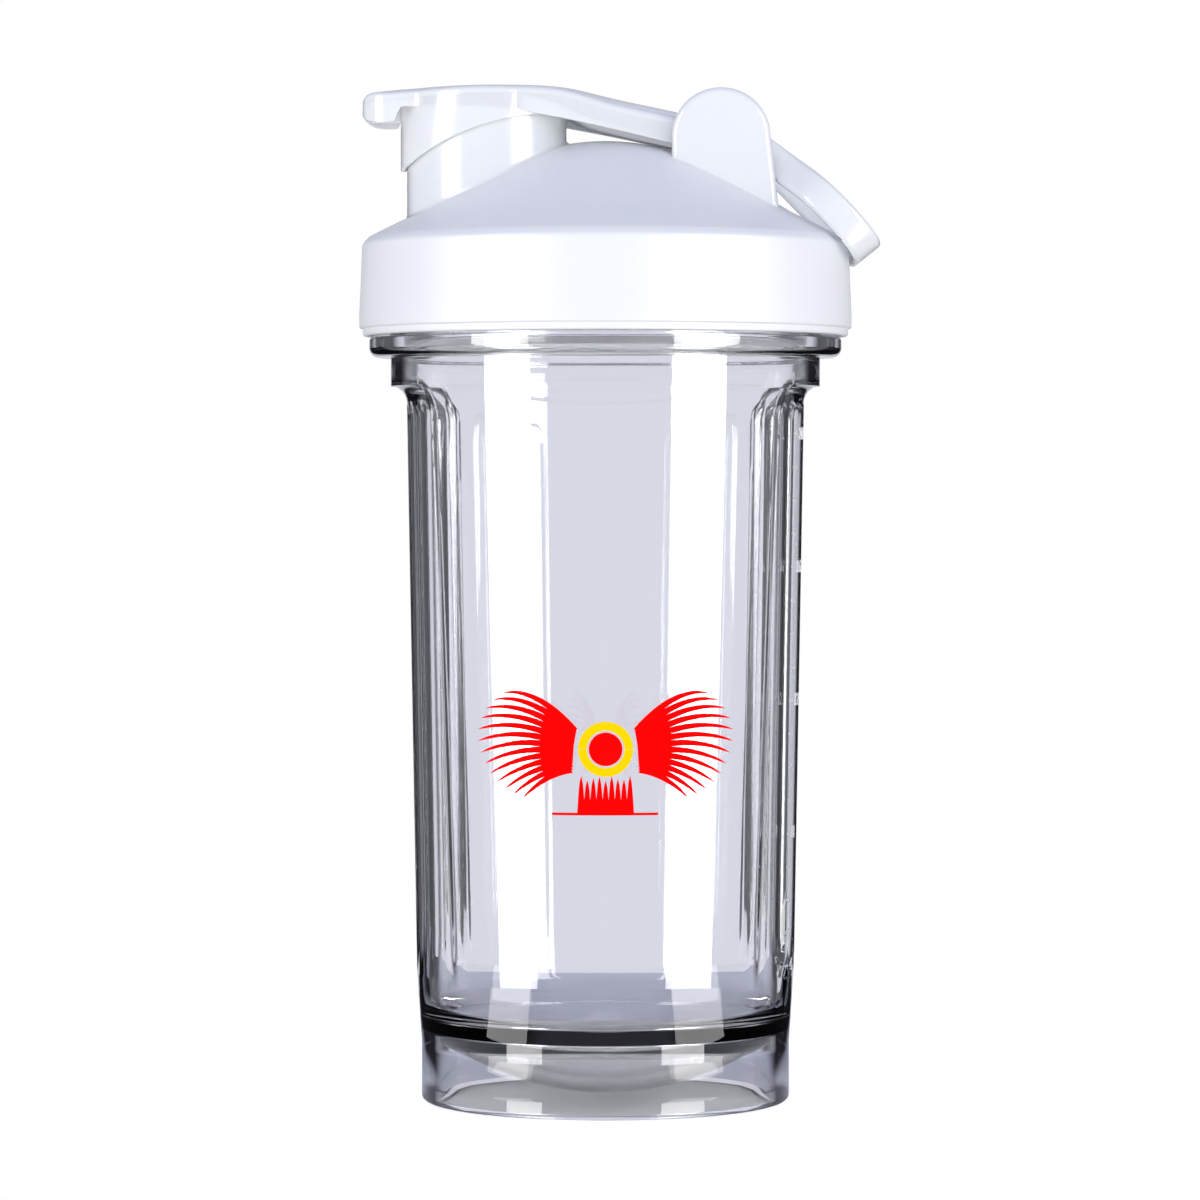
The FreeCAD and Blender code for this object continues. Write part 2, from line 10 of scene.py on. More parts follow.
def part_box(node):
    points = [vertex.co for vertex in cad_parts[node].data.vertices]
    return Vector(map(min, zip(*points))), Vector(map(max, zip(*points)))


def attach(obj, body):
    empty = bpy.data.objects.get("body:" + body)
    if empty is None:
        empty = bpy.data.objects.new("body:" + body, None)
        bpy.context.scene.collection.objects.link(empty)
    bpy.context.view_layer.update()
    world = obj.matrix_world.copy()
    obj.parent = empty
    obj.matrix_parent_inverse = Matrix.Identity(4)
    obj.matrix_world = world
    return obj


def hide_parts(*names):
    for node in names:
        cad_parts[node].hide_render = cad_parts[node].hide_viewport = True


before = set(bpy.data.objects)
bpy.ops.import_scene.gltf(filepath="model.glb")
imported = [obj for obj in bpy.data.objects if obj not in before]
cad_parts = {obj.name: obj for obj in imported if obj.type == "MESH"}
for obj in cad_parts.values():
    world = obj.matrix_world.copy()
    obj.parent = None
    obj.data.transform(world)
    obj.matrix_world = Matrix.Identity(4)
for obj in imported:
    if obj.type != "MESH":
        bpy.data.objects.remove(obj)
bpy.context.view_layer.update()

bl_info = {
    "name": "Shaker bottle",
    "version": (1, 0, 0),
    "blender": (4, 5, 0),
    "location": "View3D > Sidebar > Shaker",
    "description": "Builds the visible pieces of a protein shaker bottle round its packed CAD frame",
    "category": "Mesh",
}

MM = 0.001


def in_mm(value):
    return round(value / MM, 3)


CUP_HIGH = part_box("cup")[1]
LID_LOW, LID_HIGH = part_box("lid")
PIN_LOW, PIN_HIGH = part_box("hinge_pin")
HINGE_X = in_mm((PIN_LOW[0] + PIN_HIGH[0]) / 2)
HINGE_Z = in_mm((PIN_LOW[2] + PIN_HIGH[2]) / 2)


# ---------------------------------------------------------------- sizes and colours

def length(name, description, default):
    """A size in metres, from a default in millimetres."""
    return bpy.props.FloatProperty(
        name=name, description=description, default=default * MM, unit="LENGTH", precision=5)


def colour(name, description, default):
    return bpy.props.FloatVectorProperty(
        name=name, description=description, default=default, size=3, subtype="COLOR", min=0, max=1)


class ShakerSizes(bpy.types.PropertyGroup):
    """Sizes of the visible pieces"""
    wall: length("Cup wall", "Thickness of the clear wall", 2.7)
    flute_depth: length("Flute depth", "Depth of each grip flute", 0.75)
    strip_width: length("Scale strip width", "Width of the raised fluid scale", 8.4)
    strip_height: length("Scale strip height", "How far the scale stands off the grip", 0.7)
    ear_round: length("Ear edge", "Rounding of the hinge ears' edges", 1.3)
    cap_round: length("Cap edge", "Rounding of the flip cap's edges", 1.1)
    cap_crown: length("Cap crown", "How much the cap's top is arched across", 1.2)
    loop_band: length("Loop band", "Thickness of the carry loop's band", 3.3)
    loop_depth: length("Loop depth", "Depth of the carry loop's band", 6.3)
    cap_rim: length("Cap rim", "Thickness of the rim turned down round the cap", 0.9)
    print_lift: length("Print lift", "How far the printed ink stands off the cup", 0.07)


class ShakerColours(bpy.types.PropertyGroup):
    """Colours of the plastics and inks"""
    white: colour("White plastic", "Lid, flip cap and carry loop", (0.875, 0.892, 0.895))
    silicone: colour("Silicone", "Both seals", (0.70, 0.74, 0.80))
    ink_main: colour("Main ink", "Strokes, disc and bars of the printed badge", (0.95, 0.002, 0.002))
    ink_accent: colour("Accent ink", "Ring of the printed badge", (0.95, 0.62, 0.002))
    floor: colour("Floor", "Studio floor", (0.93, 0.93, 0.94))


def sizes():
    return bpy.context.scene.shaker_sizes


def colours():
    return bpy.context.scene.shaker_colours


# ---------------------------------------------------------------- outlines and meshes

ROUND_STEPS = 6
MERGE_DISTANCE = 1e-6
FLAT_DISTANCE = 1e-7


def rounded_path(corners, step=4.0):
    """Points along straight runs between (across, up, fillet radius) corners, in millimetres."""
    points = []
    count = len(corners)
    for index, (across, up, radius) in enumerate(corners):
        here = Vector((across, up))
        if radius <= 0 or index in (0, count - 1):
            points.append(here)
            continue
        before = (Vector(corners[index - 1][:2]) - here)
        after = (Vector(corners[index + 1][:2]) - here)
        half = before.angle(after) / 2
        reach = min(radius / math.tan(half), before.length * 0.49, after.length * 0.49)
        radius = reach * math.tan(half)
        before.normalize()
        after.normalize()
        centre = here + (before + after).normalized() * radius / math.sin(half)
        first = here + before * reach - centre
        last = here + after * reach - centre
        turn = first.angle_signed(last)
        pieces = max(2, math.ceil(abs(math.degrees(turn)) / 12))
        for part in range(pieces + 1):
            angle = -turn * part / pieces
            spun = Vector((first.x * math.cos(angle) - first.y * math.sin(angle),
                           first.x * math.sin(angle) + first.y * math.cos(angle)))
            points.append(centre + spun)
    dense = [points[0]]
    for start, end in zip(points, points[1:]):
        parts = max(1, math.ceil((end - start).length / step))
        dense.extend(start.lerp(end, part / parts) for part in range(1, parts + 1))
    return dense


def arc_points(centre_up, radius, across_from, across_to, parts):
    """Points of a dome or bowl arc about a centre on the axis; the radius's sign picks top or bottom."""
    points = []
    for part in range(parts + 1):
        across = across_from + (across_to - across_from) * part / parts
        rise = math.copysign(math.sqrt(radius * radius - across * across), radius)
        points.append((across, centre_up + rise, 0))
    return points


def smooth(low, high, value):
    """0 below low, 1 above high, with soft ends."""
    share = min(max((value - low) / (high - low), 0.0), 1.0)
    return share * share * (3 - 2 * share)


def lattice(name, rows, columns, place, wrap_rows=False, wrap_columns=True):
    """Mesh over a grid of place(row, column) points in millimetres, with doubled points merged."""
    bm = bmesh.new()
    grid = [[bm.verts.new(Vector(place(row, column)) * MM) for column in range(columns)]
            for row in range(rows)]
    for row in range(rows if wrap_rows else rows - 1):
        for column in range(columns if wrap_columns else columns - 1):
            beside = (column + 1) % columns
            above = (row + 1) % rows
            bm.faces.new((grid[row][column], grid[row][beside], grid[above][beside], grid[above][column]))
    return finish_mesh(name, bm)


def finish_mesh(name, bm):
    bmesh.ops.remove_doubles(bm, verts=bm.verts, dist=MERGE_DISTANCE)
    bmesh.ops.dissolve_degenerate(bm, edges=bm.edges, dist=FLAT_DISTANCE)
    bmesh.ops.recalc_face_normals(bm, faces=bm.faces)
    mesh = bpy.data.meshes.new(name)
    bm.to_mesh(mesh)
    bm.free()
    return mesh


def turned(name, path, columns, shape=None):
    """Closed solid of revolution from a path of (radius, height); shape may move a point by its angle."""
    def place(row, column):
        angle = math.tau * column / columns
        radius, height = path[row]
        if shape:
            radius, height = shape(radius, height, angle)
        return radius * math.cos(angle), radius * math.sin(angle), height
    return lattice(name, len(path), columns, place)


def lofted(name, rings):
    """Closed mesh through rings of points in millimetres, with a face over each end."""
    bm = bmesh.new()
    verts = [[bm.verts.new(Vector(point) * MM) for point in ring] for ring in rings]
    for ring, above in zip(verts, verts[1:]):
        for index in range(len(ring)):
            beside = (index + 1) % len(ring)
            bm.faces.new((ring[index], ring[beside], above[beside], above[index]))
    bm.faces.new(verts[0])
    bm.faces.new(verts[-1])
    return finish_mesh(name, bm)


def rounded_slab(name, outline, low, high, edge, place):
    """Slab of a flat outline between two depths with rounded edges; place(u, v, depth) sets it in space."""
    near = []
    for part in range(ROUND_STEPS + 1):
        angle = math.pi / 2 * part / ROUND_STEPS
        near.append((edge * (1 - math.cos(angle)), edge * (1 - math.sin(angle))))
    layers = [(high - depth, inset) for depth, inset in near]
    layers += [(low + depth, inset) for depth, inset in reversed(near)]
    normals = []
    for index, before in enumerate(outline[-1:] + outline[:-1]):
        along = (outline[(index + 1) % len(outline)] - before).normalized()
        normals.append(Vector((-along.y, along.x)))
    return lofted(name, [[place(*(point + normal * inset), depth) for point, normal in zip(outline, normals)]
                         for depth, inset in layers])


def reopened(mesh):
    """A mesh's faces as a bmesh; the mesh itself is let go."""
    bm = bmesh.new()
    bm.from_mesh(mesh)
    bpy.data.meshes.remove(mesh)
    return bm


def evaluated_mesh(item):
    """An object's mesh after its modifiers, as new data."""
    bpy.context.view_layer.update()
    evaluated = item.evaluated_get(bpy.context.evaluated_depsgraph_get())
    return bpy.data.meshes.new_from_object(evaluated)


def joined(name, meshes):
    """One mesh from several closed ones."""
    bm = bmesh.new()
    for mesh in meshes:
        bm.from_mesh(mesh)
        bpy.data.meshes.remove(mesh)
    mesh = bpy.data.meshes.new(name)
    bm.to_mesh(mesh)
    bm.free()
    return mesh


def about_axis(name, path, columns, place):
    """Closed ring of a (radius, height) path; place(radius, height, cosine, sine) sets it in space."""
    def at(row, column):
        angle = math.tau * column / columns
        return place(*path[row], math.cos(angle), math.sin(angle))
    return lattice(name, len(path), columns, at, wrap_rows=True)


def piece(name, mesh, material, body, replaces=(), sharp=38):
    """Links a finished mesh as a piece of the bottle, smooth but for its sharp edges."""
    mesh.name = name
    mesh.shade_smooth()
    mesh.set_sharp_from_angle(angle=math.radians(sharp))
    mesh.materials.clear()
    mesh.materials.append(material)
    item = bpy.data.objects.new(name, mesh)
    bpy.context.scene.collection.objects.link(item)
    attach(item, body)
    if replaces:
        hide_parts(*replaces)
    return item


# ---------------------------------------------------------------- nodes

def feed(tree, value, socket):
    """Links an output socket into an input, or sets the input's own value."""
    if isinstance(value, bpy.types.NodeSocket):
        tree.links.new(value, socket)
    else:
        socket.default_value = value


def add_node(tree, kind, mode=None, **values):
    """A new node whose named inputs are linked or set."""
    node = tree.nodes.new(kind)
    if mode:
        node.mode = mode
    for name, value in values.items():
        feed(tree, value, node.inputs[name.replace("_", " ")])
    return node


def math_node(tree, kind, *values):
    node = tree.nodes.new("ShaderNodeMath")
    node.operation = kind
    for socket, value in zip(node.inputs, values):
        feed(tree, value, socket)
    return node.outputs[0]


def mix_node(tree, kind, share, first, second):
    """Mix of two FLOAT or RGBA values; a Mix node keeps each kind in sockets of its own."""
    node = tree.nodes.new("ShaderNodeMix")
    node.data_type = kind
    low, result = (2, 0) if kind == "FLOAT" else (6, 2)
    for index, value in ((0, share), (low, first), (low + 1, second)):
        feed(tree, value, node.inputs[index])
    return node.outputs[result]


def ramp_node(tree, value, *stops):
    """Colour ramp through (position, colour) stops."""
    node = tree.nodes.new("ShaderNodeValToRGB")
    elements = node.color_ramp.elements
    while len(elements) < len(stops):
        elements.new(0.5)
    for element, (position, shade) in zip(elements, stops):
        element.position = position
        element.color = (*shade, 1)
    tree.links.new(value, node.inputs[0])
    return node.outputs[0]


def new_group(name, tree_type, inputs, outputs):
    """Node group with (name, kind, default) inputs and (name, kind) outputs, and its input sockets."""
    group = bpy.data.node_groups.new(name, tree_type)
    for title, kind, default in inputs:
        socket = group.interface.new_socket(name=title, in_out="INPUT", socket_type="NodeSocket" + kind)
        if default is not None:
            socket.default_value = default
    for title, kind in outputs:
        group.interface.new_socket(name=title, in_out="OUTPUT", socket_type="NodeSocket" + kind)
    return group, group.nodes.new("NodeGroupInput").outputs


def moulding_group():
    """Fine grain, slow flow waves and scuffs of a moulded plastic surface."""
    group = bpy.data.node_groups.get("moulded_surface")
    if group:
        return group
    group, given = new_group(
        "moulded_surface", "ShaderNodeTree",
        (("Grain Scale", "Float", 2500.0), ("Flow Scale", "Float", 30.0), ("Flow Share", "Float", 0.4),
         ("Scuff Scale", "Float", 220.0)),
        (("Height", "Float"), ("Shade", "Float"), ("Scuff", "Float")))
    where = group.nodes.new("ShaderNodeTexCoord").outputs["Object"]
    grain = add_node(group, "ShaderNodeTexNoise", Vector=where, Scale=given["Grain Scale"], Detail=3.0)
    flow = add_node(group, "ShaderNodeTexNoise", Vector=where, Scale=given["Flow Scale"], Detail=2.0,
                    Distortion=0.6)
    stretch = add_node(group, "ShaderNodeMapping", Vector=where, Scale=(1.0, 1.0, 0.06),
                       Rotation=(0.5, 0.35, 0.2))
    scuff = add_node(group, "ShaderNodeTexNoise", Vector=stretch.outputs["Vector"],
                     Scale=given["Scuff Scale"], Detail=6.0, Roughness=0.65)
    pick = add_node(group, "ShaderNodeMapRange", Value=scuff.outputs[0], From_Min=0.62, From_Max=0.78)
    blend = mix_node(group, "FLOAT", given["Flow Share"], grain.outputs[0], flow.outputs[0])
    add_node(group, "NodeGroupOutput", Height=blend, Shade=flow.outputs[0], Scuff=pick.outputs["Result"])
    return group


class Recipe:
    """A Principled material with the shared moulded surface wired to its bump and roughness."""

    def __init__(self, name, grain=2500.0, flow=30.0, flow_share=0.4, bump=0.1, reach=0.00005,
                 rough=(0.2, 0.3)):
        self.material = bpy.data.materials.new(name)
        self.material.use_nodes = True
        self.tree = self.material.node_tree
        self.shader = self.tree.nodes["Principled BSDF"]
        self.base = self.shader.inputs["Base Color"]
        surface = self.tree.nodes.new("ShaderNodeGroup")
        surface.node_tree = moulding_group()
        surface.inputs["Grain Scale"].default_value = grain
        surface.inputs["Flow Scale"].default_value = flow
        surface.inputs["Flow Share"].default_value = flow_share
        self.drift = surface.outputs["Shade"]
        bumps = add_node(self.tree, "ShaderNodeBump", Strength=bump, Distance=reach,
                         Height=surface.outputs["Height"])
        scuffed = add_node(self.tree, "ShaderNodeMapRange", Value=surface.outputs["Scuff"],
                           To_Min=rough[0], To_Max=rough[1])
        self.tree.links.new(bumps.outputs["Normal"], self.shader.inputs["Normal"])
        self.tree.links.new(scuffed.outputs["Result"], self.shader.inputs["Roughness"])

    def tint(self, first, second):
        """Base colour that drifts between two near colours with the flow."""
        drifting = mix_node(self.tree, "RGBA", self.drift, (*first, 1), (*second, 1))
        self.tree.links.new(drifting, self.base)

    def cover(self, mask, shade):
        """Base colour that gives way to another shade where the mask is 1."""
        below = self.base.links[0].from_socket
        self.tree.links.new(mix_node(self.tree, "RGBA", mask, below, shade), self.base)

    def facing(self):
        """0 where a face is seen square on, 1 where it turns away."""
        return add_node(self.tree, "ShaderNodeLayerWeight", Blend=0.5).outputs["Facing"]

    def outline(self, first, last, share):
        """Painted shade: darkens the base colour where a face turns away from the view."""
        edge_shade_mask = add_node(self.tree, "ShaderNodeMapRange", Value=self.facing(), From_Min=first,
                           From_Max=last)
        self.cover(edge_shade_mask.outputs["Result"], (share, share, share * 1.05, 1))

    def set(self, **values):
        for name, value in values.items():
            self.shader.inputs[name.replace("_", " ")].default_value = value
        return self.material


def darker(shade, share):
    return tuple(channel * share for channel in shade)


def outer_white(name, grain, flow_share, bump, rough, drift, outline):
    """White plastic of the lid, the flip cap and the loop, with painted shade: soft dark outlines where
    faces turn away.
    """
    recipe = Recipe(name, grain=grain, flow=24, flow_share=flow_share, bump=bump, rough=rough)
    recipe.tint(colours().white, darker(colours().white, drift))
    recipe.outline(*outline)
    return recipe.set(IOR=1.49, Subsurface_Weight=0.12, Subsurface_Radius=(0.6, 0.6, 0.7),
                      Subsurface_Scale=0.002)


# Each white's last three numbers set its painted edge shade: the facing range over which the base colour
# falls, and the darkest share it falls to.
def glossy_white():
    return outer_white("glossy_white", 1800, 0.5, 0.06, (0.16, 0.24), 0.985, (0.80, 0.97, 0.22))


def satin_white():
    return outer_white("satin_white", 1400, 0.3, 0.1, (0.44, 0.52), 0.98, (0.93, 0.99, 0.4))


def inner_white():
    recipe = Recipe("inner_white", grain=1400, flow=40, bump=0.08, rough=(0.34, 0.45))
    recipe.tint(darker(colours().white, 0.96), darker(colours().white, 0.92))
    return recipe.set(IOR=1.49)


def pin_white():
    recipe = Recipe("pin_white", grain=2200, flow=90, bump=0.05, rough=(0.25, 0.4))
    recipe.tint(darker(colours().white, 0.98), darker(colours().white, 0.93))
    return recipe.set(IOR=1.49)


def soft_silicone():
    recipe = Recipe("soft_silicone", grain=3200, flow=60, bump=0.12, rough=(0.5, 0.62))
    recipe.tint(colours().silicone, darker(colours().silicone, 0.95))
    return recipe.set(IOR=1.41, Sheen_Weight=0.15, Subsurface_Weight=0.1, Subsurface_Scale=0.002)


# Faint tint of the plastic face on, then painted shade falling to near black where the wall turns edge on.
CLEAR_EDGE_SHADE_STOPS = (
    (0.0, (0.972, 0.973, 0.984)), (0.72, (0.94, 0.942, 0.955)), (0.84, (0.34, 0.34, 0.36)),
    (1.0, (0.02, 0.02, 0.023)),
)


def clear_copolyester():
    """Clear plastic with a faint tint face on, and painted shade: darker to near black where the wall is
    seen edge on.
    """
    recipe = Recipe("clear_copolyester", grain=300, flow=22, flow_share=0.85, bump=0.05, reach=0.00012,
                    rough=(0.012, 0.035))
    recipe.tree.links.new(ramp_node(recipe.tree, recipe.facing(), *CLEAR_EDGE_SHADE_STOPS), recipe.base)
    return recipe.set(IOR=1.54, Transmission_Weight=1.0)


def ink(name, shade):
    """Matt printed ink with a painted glow: a little emission keeps its colour full in the cup's shade."""
    recipe = Recipe(name, grain=4000, flow=300, bump=0.1, rough=(0.7, 0.9))
    recipe.tint(shade, darker(shade, 0.95))
    return recipe.set(IOR=1.5, Specular_IOR_Level=0.0, Emission_Color=(*shade, 1), Emission_Strength=0.25)


def scale_white():
    recipe = Recipe("scale_white", grain=3000, flow=200, bump=0.08, rough=(0.3, 0.45))
    recipe.tint((0.9, 0.9, 0.92), (0.84, 0.84, 0.87))
    return recipe.set(IOR=1.5)


def main_ink():
    return ink("main_ink", colours().ink_main)


def accent_ink():
    return ink("accent_ink", colours().ink_accent)


def material(make):
    """Each finish is made once and kept by its name."""
    found = bpy.data.materials.get(make.__name__)
    return found or make()


# ---------------------------------------------------------------- geometry node trees

def ridge_tree():
    """Helical ridge: a spiral with a four-cornered profile swept along it."""
    tree = bpy.data.node_groups.get("thread_ridge")
    if tree:
        return tree
    tree, given = new_group(
        "thread_ridge", "GeometryNodeTree",
        (("Radius", "Float", 0.045), ("Rise", "Float", 0.006), ("Turns", "Float", 1.2),
         ("Start Height", "Float", 0.16), ("Half Depth", "Float", 0.001), ("Base Half", "Float", 0.0011),
         ("Crest Half", "Float", 0.0006), ("Material", "Material", None)),
        (("Geometry", "Geometry"),))
    spiral = add_node(tree, "GeometryNodeCurveSpiral", Resolution=96, Rotations=given["Turns"],
                      Start_Radius=given["Radius"], End_Radius=given["Radius"], Height=given["Rise"])
    offset = add_node(tree, "ShaderNodeCombineXYZ", Z=given["Start Height"])
    lift = add_node(tree, "GeometryNodeTransform", Translation=offset.outputs[0],
                    Geometry=spiral.outputs[0])
    upright = add_node(tree, "GeometryNodeSetCurveNormal", mode="Z_UP", Curve=lift.outputs[0])
    bottom, top, height = (math_node(tree, "MULTIPLY", given[name], 2.0)
                           for name in ("Base Half", "Crest Half", "Half Depth"))
    profile = add_node(tree, "GeometryNodeCurvePrimitiveQuadrilateral", mode="TRAPEZOID", Offset=0.0,
                       Bottom_Width=bottom, Top_Width=top, Height=height)
    sweep = add_node(tree, "GeometryNodeCurveToMesh", Fill_Caps=True, Curve=upright.outputs[0],
                     Profile_Curve=profile.outputs[0])
    return end_tree(tree, given, sweep.outputs[0])


def end_tree(tree, given, geometry):
    """Ends a tree in realised instances with the given material."""
    real = add_node(tree, "GeometryNodeRealizeInstances", Geometry=geometry)
    paint = add_node(tree, "GeometryNodeSetMaterial", Geometry=real.outputs[0],
                     Material=given["Material"])
    add_node(tree, "NodeGroupOutput", Geometry=paint.outputs[0])
    return tree


def grown(tree, **values):
    """Runs a tree on an empty mesh and returns its result as a plain mesh."""
    carrier = bpy.data.objects.new("carrier", bpy.data.meshes.new("carrier"))
    bpy.context.scene.collection.objects.link(carrier)
    modifier = carrier.modifiers.new("tree", "NODES")
    modifier.node_group = tree
    for item in tree.interface.items_tree:
        if item.item_type == "SOCKET" and item.in_out == "INPUT" and item.name in values:
            modifier[item.identifier] = values[item.name]
    mesh = evaluated_mesh(carrier)
    carrier.modifiers.clear()
    bpy.data.objects.remove(carrier)
    return finish_mesh("grown", reopened(mesh))


# ---------------------------------------------------------------- cup

CUP = {
    "foot": 37.45, "foot_top": 12.0, "foot_bore": 34.65, "foot_bore_top": 15.8,
    "cone_low": 38.4, "cone_low_height": 26.0,
    "cone_high": 43.65, "cone_high_height": 145.0,
    "grip_high": 40.4, "grip_top": 142.0, "middle_height": 118.0,
    "collar": 48.0, "collar_low": 151.0, "collar_top": 154.9,
    "neck": 44.0, "neck_bore": 41.0, "neck_bore_low": 147.0, "rim": in_mm(CUP_HIGH[2]),
    "bowl": 55.0, "bowl_bottom": 1.6, "bowl_wall": 3.0, "bowl_edge": 33.6,
}
GRIP_HALF_ANGLE = 37.0
GRIP_CORNER = 8.0
GRIP_EDGE = 1.4
GRIP_ROW = 0.9
LINING_FADE = (139, 147)
FLUTE_PITCH = 11.5
FLUTE_REACH = 3 * FLUTE_PITCH
FLUTE_RISE = (22, 36)
FLUTE_TOP = 141.6
FLUTE_ARCH = 2.2
STRIP_ANGLE = -18.0
STRIP_LOW = 25.6
STRIP_ARCH = 4
STRIP_FADE = (141, 143)
CUP_COLUMNS = 416


def cone_radius(height):
    """Outer radius of the cup's plain cone."""
    share = (height - CUP["cone_low_height"]) / (CUP["cone_high_height"] - CUP["cone_low_height"])
    return CUP["cone_low"] + share * (CUP["cone_high"] - CUP["cone_low"])


def grip_depth(height):
    """How deep the side grips lie below the plain cone."""
    if not CUP["cone_low_height"] < height <= CUP["cone_high_height"] + 0.01:
        return 0.0
    share = (height - CUP["cone_low_height"]) / (CUP["grip_top"] - CUP["cone_low_height"])
    deep = cone_radius(height) - (CUP["cone_low"] + share * (CUP["grip_high"] - CUP["cone_low"]))
    if height > CUP["grip_top"]:
        rise = (height - CUP["grip_top"]) / (CUP["cone_high_height"] - CUP["grip_top"])
        deep *= 1 - 0.54 * rise * rise
    return deep


def grip_mask(side, height):
    """1 inside a grip, 0 outside, with soft edges and round upper corners; side is in degrees."""
    reach = math.radians(1) * cone_radius(height)
    across = (side - GRIP_HALF_ANGLE) * reach + GRIP_CORNER
    above = height - (CUP["cone_high_height"] + 1.0) + GRIP_CORNER
    if across > 0 and above > 0:
        outside = math.hypot(across, above) - GRIP_CORNER
    else:
        outside = max(across, above) - GRIP_CORNER
    return 1 - smooth(-GRIP_EDGE, 0.0, outside)


def cup_shape(radius, height, angle):
    """Adds the grips, their flutes and the scale strip to a point of the plain cup."""
    if not 20 < height < CUP["cone_high_height"] + 2:
        return radius, height
    wall = in_mm(sizes().wall)
    side = (math.degrees(angle) + 90) % 180 - 90
    from_strip = abs((math.degrees(angle) - STRIP_ANGLE + 180) % 360 - 180)
    inside_grip = grip_mask(abs(side), height)
    if radius < cone_radius(height) - wall / 2:
        lining = grip_depth(min(height, CUP["grip_top"])) * (1 - smooth(*LINING_FADE, height))
        return radius - lining * inside_grip, height
    radius -= grip_depth(height) * inside_grip
    across = ((side + FLUTE_REACH) % FLUTE_PITCH) / FLUTE_PITCH * 2 - 1
    arch = FLUTE_TOP - FLUTE_ARCH * across * across
    flute = in_mm(sizes().flute_depth) * (1 - across * across) * smooth(*FLUTE_RISE, height)
    flute *= 1 - smooth(arch - 2.0, arch, height)
    flute *= 1 - smooth(FLUTE_REACH - 0.5, FLUTE_REACH, abs(side))
    strip_half = math.degrees(in_mm(sizes().strip_width) / 2 / radius)
    end = STRIP_LOW + STRIP_ARCH * (from_strip / strip_half) ** 2
    strip = 1 - smooth(strip_half - 0.9, strip_half, from_strip)
    strip *= smooth(end - 0.6, end + 0.4, height) * (1 - smooth(*STRIP_FADE, height))
    flute *= 1 - smooth(strip_half + 1.5, strip_half, from_strip) if from_strip > strip_half else 0.0
    return radius - flute + in_mm(sizes().strip_height) * strip, height


def cup_path():
    """Outline of the clear cup from the middle of its underside round to the middle of its floor."""
    wall = in_mm(sizes().wall)
    under = arc_points(CUP["bowl_bottom"] + CUP["bowl"], -CUP["bowl"], 0, CUP["bowl_edge"], 14)
    top = arc_points(CUP["bowl_bottom"] + CUP["bowl"], -CUP["bowl"] + CUP["bowl_wall"],
                     CUP["bowl_edge"] - 1.4, 0, 14)
    body = [
        (CUP["foot_bore"], CUP["foot_bore_top"], 0.7),
        (CUP["foot_bore"], 0.0, 1.1),
        (CUP["foot"], 0.0, 1.1),
        (CUP["foot"], CUP["foot_top"], 20.0),
        (CUP["cone_low"], CUP["cone_low_height"], 40.0),
        (cone_radius(CUP["middle_height"]), CUP["middle_height"], 0.0),
        (CUP["cone_high"] - 0.02, CUP["cone_high_height"], 0.0),
        (CUP["cone_high"], CUP["cone_high_height"] + 0.15, 0.0),
        (CUP["cone_high"], CUP["collar_low"], 0.5),
        (CUP["collar"], CUP["collar_low"], 3.4),
        (CUP["collar"], CUP["collar_top"], 0.5),
        (CUP["neck"], CUP["collar_top"], 0.4),
        (CUP["neck"], CUP["rim"], 1.2),
        (CUP["neck_bore"], CUP["rim"], 1.2),
        (CUP["neck_bore"], CUP["neck_bore_low"], 30.0),
        (cone_radius(CUP["middle_height"]) - wall, CUP["middle_height"], 0.0),
        (cone_radius(30.0) - wall, 30.0, 20.0),
        (cone_radius(20.0) - wall - 0.6, 19.4, 3.5),
    ]
    corners = under + body + top
    return [tuple(point) for point in rounded_path(corners, step=4.5)]


def build_cup():
    """Clear cup shell, with rows close together where the grips end."""
    path = []
    for point in cup_path():
        if path and CUP["grip_top"] - 12 < point[1] < CUP["cone_high_height"] + 0.2:
            last = path[-1]
            parts = max(1, math.ceil(abs(point[1] - last[1]) / GRIP_ROW))
            path.extend((last[0] + (point[0] - last[0]) * part / parts,
                         last[1] + (point[1] - last[1]) * part / parts) for part in range(1, parts))
        path.append(point)
    mesh = turned("cup_shell", path, CUP_COLUMNS, cup_shape)
    piece("cup_shell", mesh, material(clear_copolyester), "cup", ("cup",), 50)


THREAD_PITCH = 5.0
THREAD_HALF_DEPTH = 1.1


def build_threads():
    """Cup's outer thread and lid's inner thread, from one ridge tree."""
    tree = ridge_tree()
    rows = (
        ("cup_thread", "cup", "clear_plastic", clear_copolyester, 44.9, 6.0, 160.0, 1.15, 0.6),
        ("lid_thread", "lid", "white_plastic", satin_white, 45.8, 5.0, 157.5, 0.6, 1.15),
    )
    for name, body, slot, finish, radius, rise, start, base, crest in rows:
        mesh = grown(tree, **{
            "Radius": radius * MM, "Rise": rise * MM, "Turns": rise / THREAD_PITCH,
            "Start Height": start * MM, "Half Depth": THREAD_HALF_DEPTH * MM,
            "Base Half": base * MM, "Crest Half": crest * MM,
            "Material": material(finish)})
        piece(name, mesh, material(finish), body)


# ---------------------------------------------------------------- fluid scale

SCALE_LOW = 28.4
SCALE_STEP = 26.75
SCALE_LABELS = ("4", "8", "12", "16", "20")
TICK_COUNT = 17
TICK_BAR = (0.2, 1.9, 0.4)
TICK_ACROSS = -2.6
LABEL_SIZE = 3.6
LABEL_SHIFT = (-0.6, 0.08)


def strip_point(across, height, off):
    """A point on the scale strip, from its distance across the strip and off its face."""
    share = (height - CUP["cone_low_height"]) / (CUP["grip_top"] - CUP["cone_low_height"])
    base = CUP["cone_low"] + share * (CUP["grip_high"] - CUP["cone_low"]) + in_mm(sizes().strip_height)
    angle = math.radians(STRIP_ANGLE) + across / base
    return Vector(((base + off) * math.cos(angle), (base + off) * math.sin(angle), height))


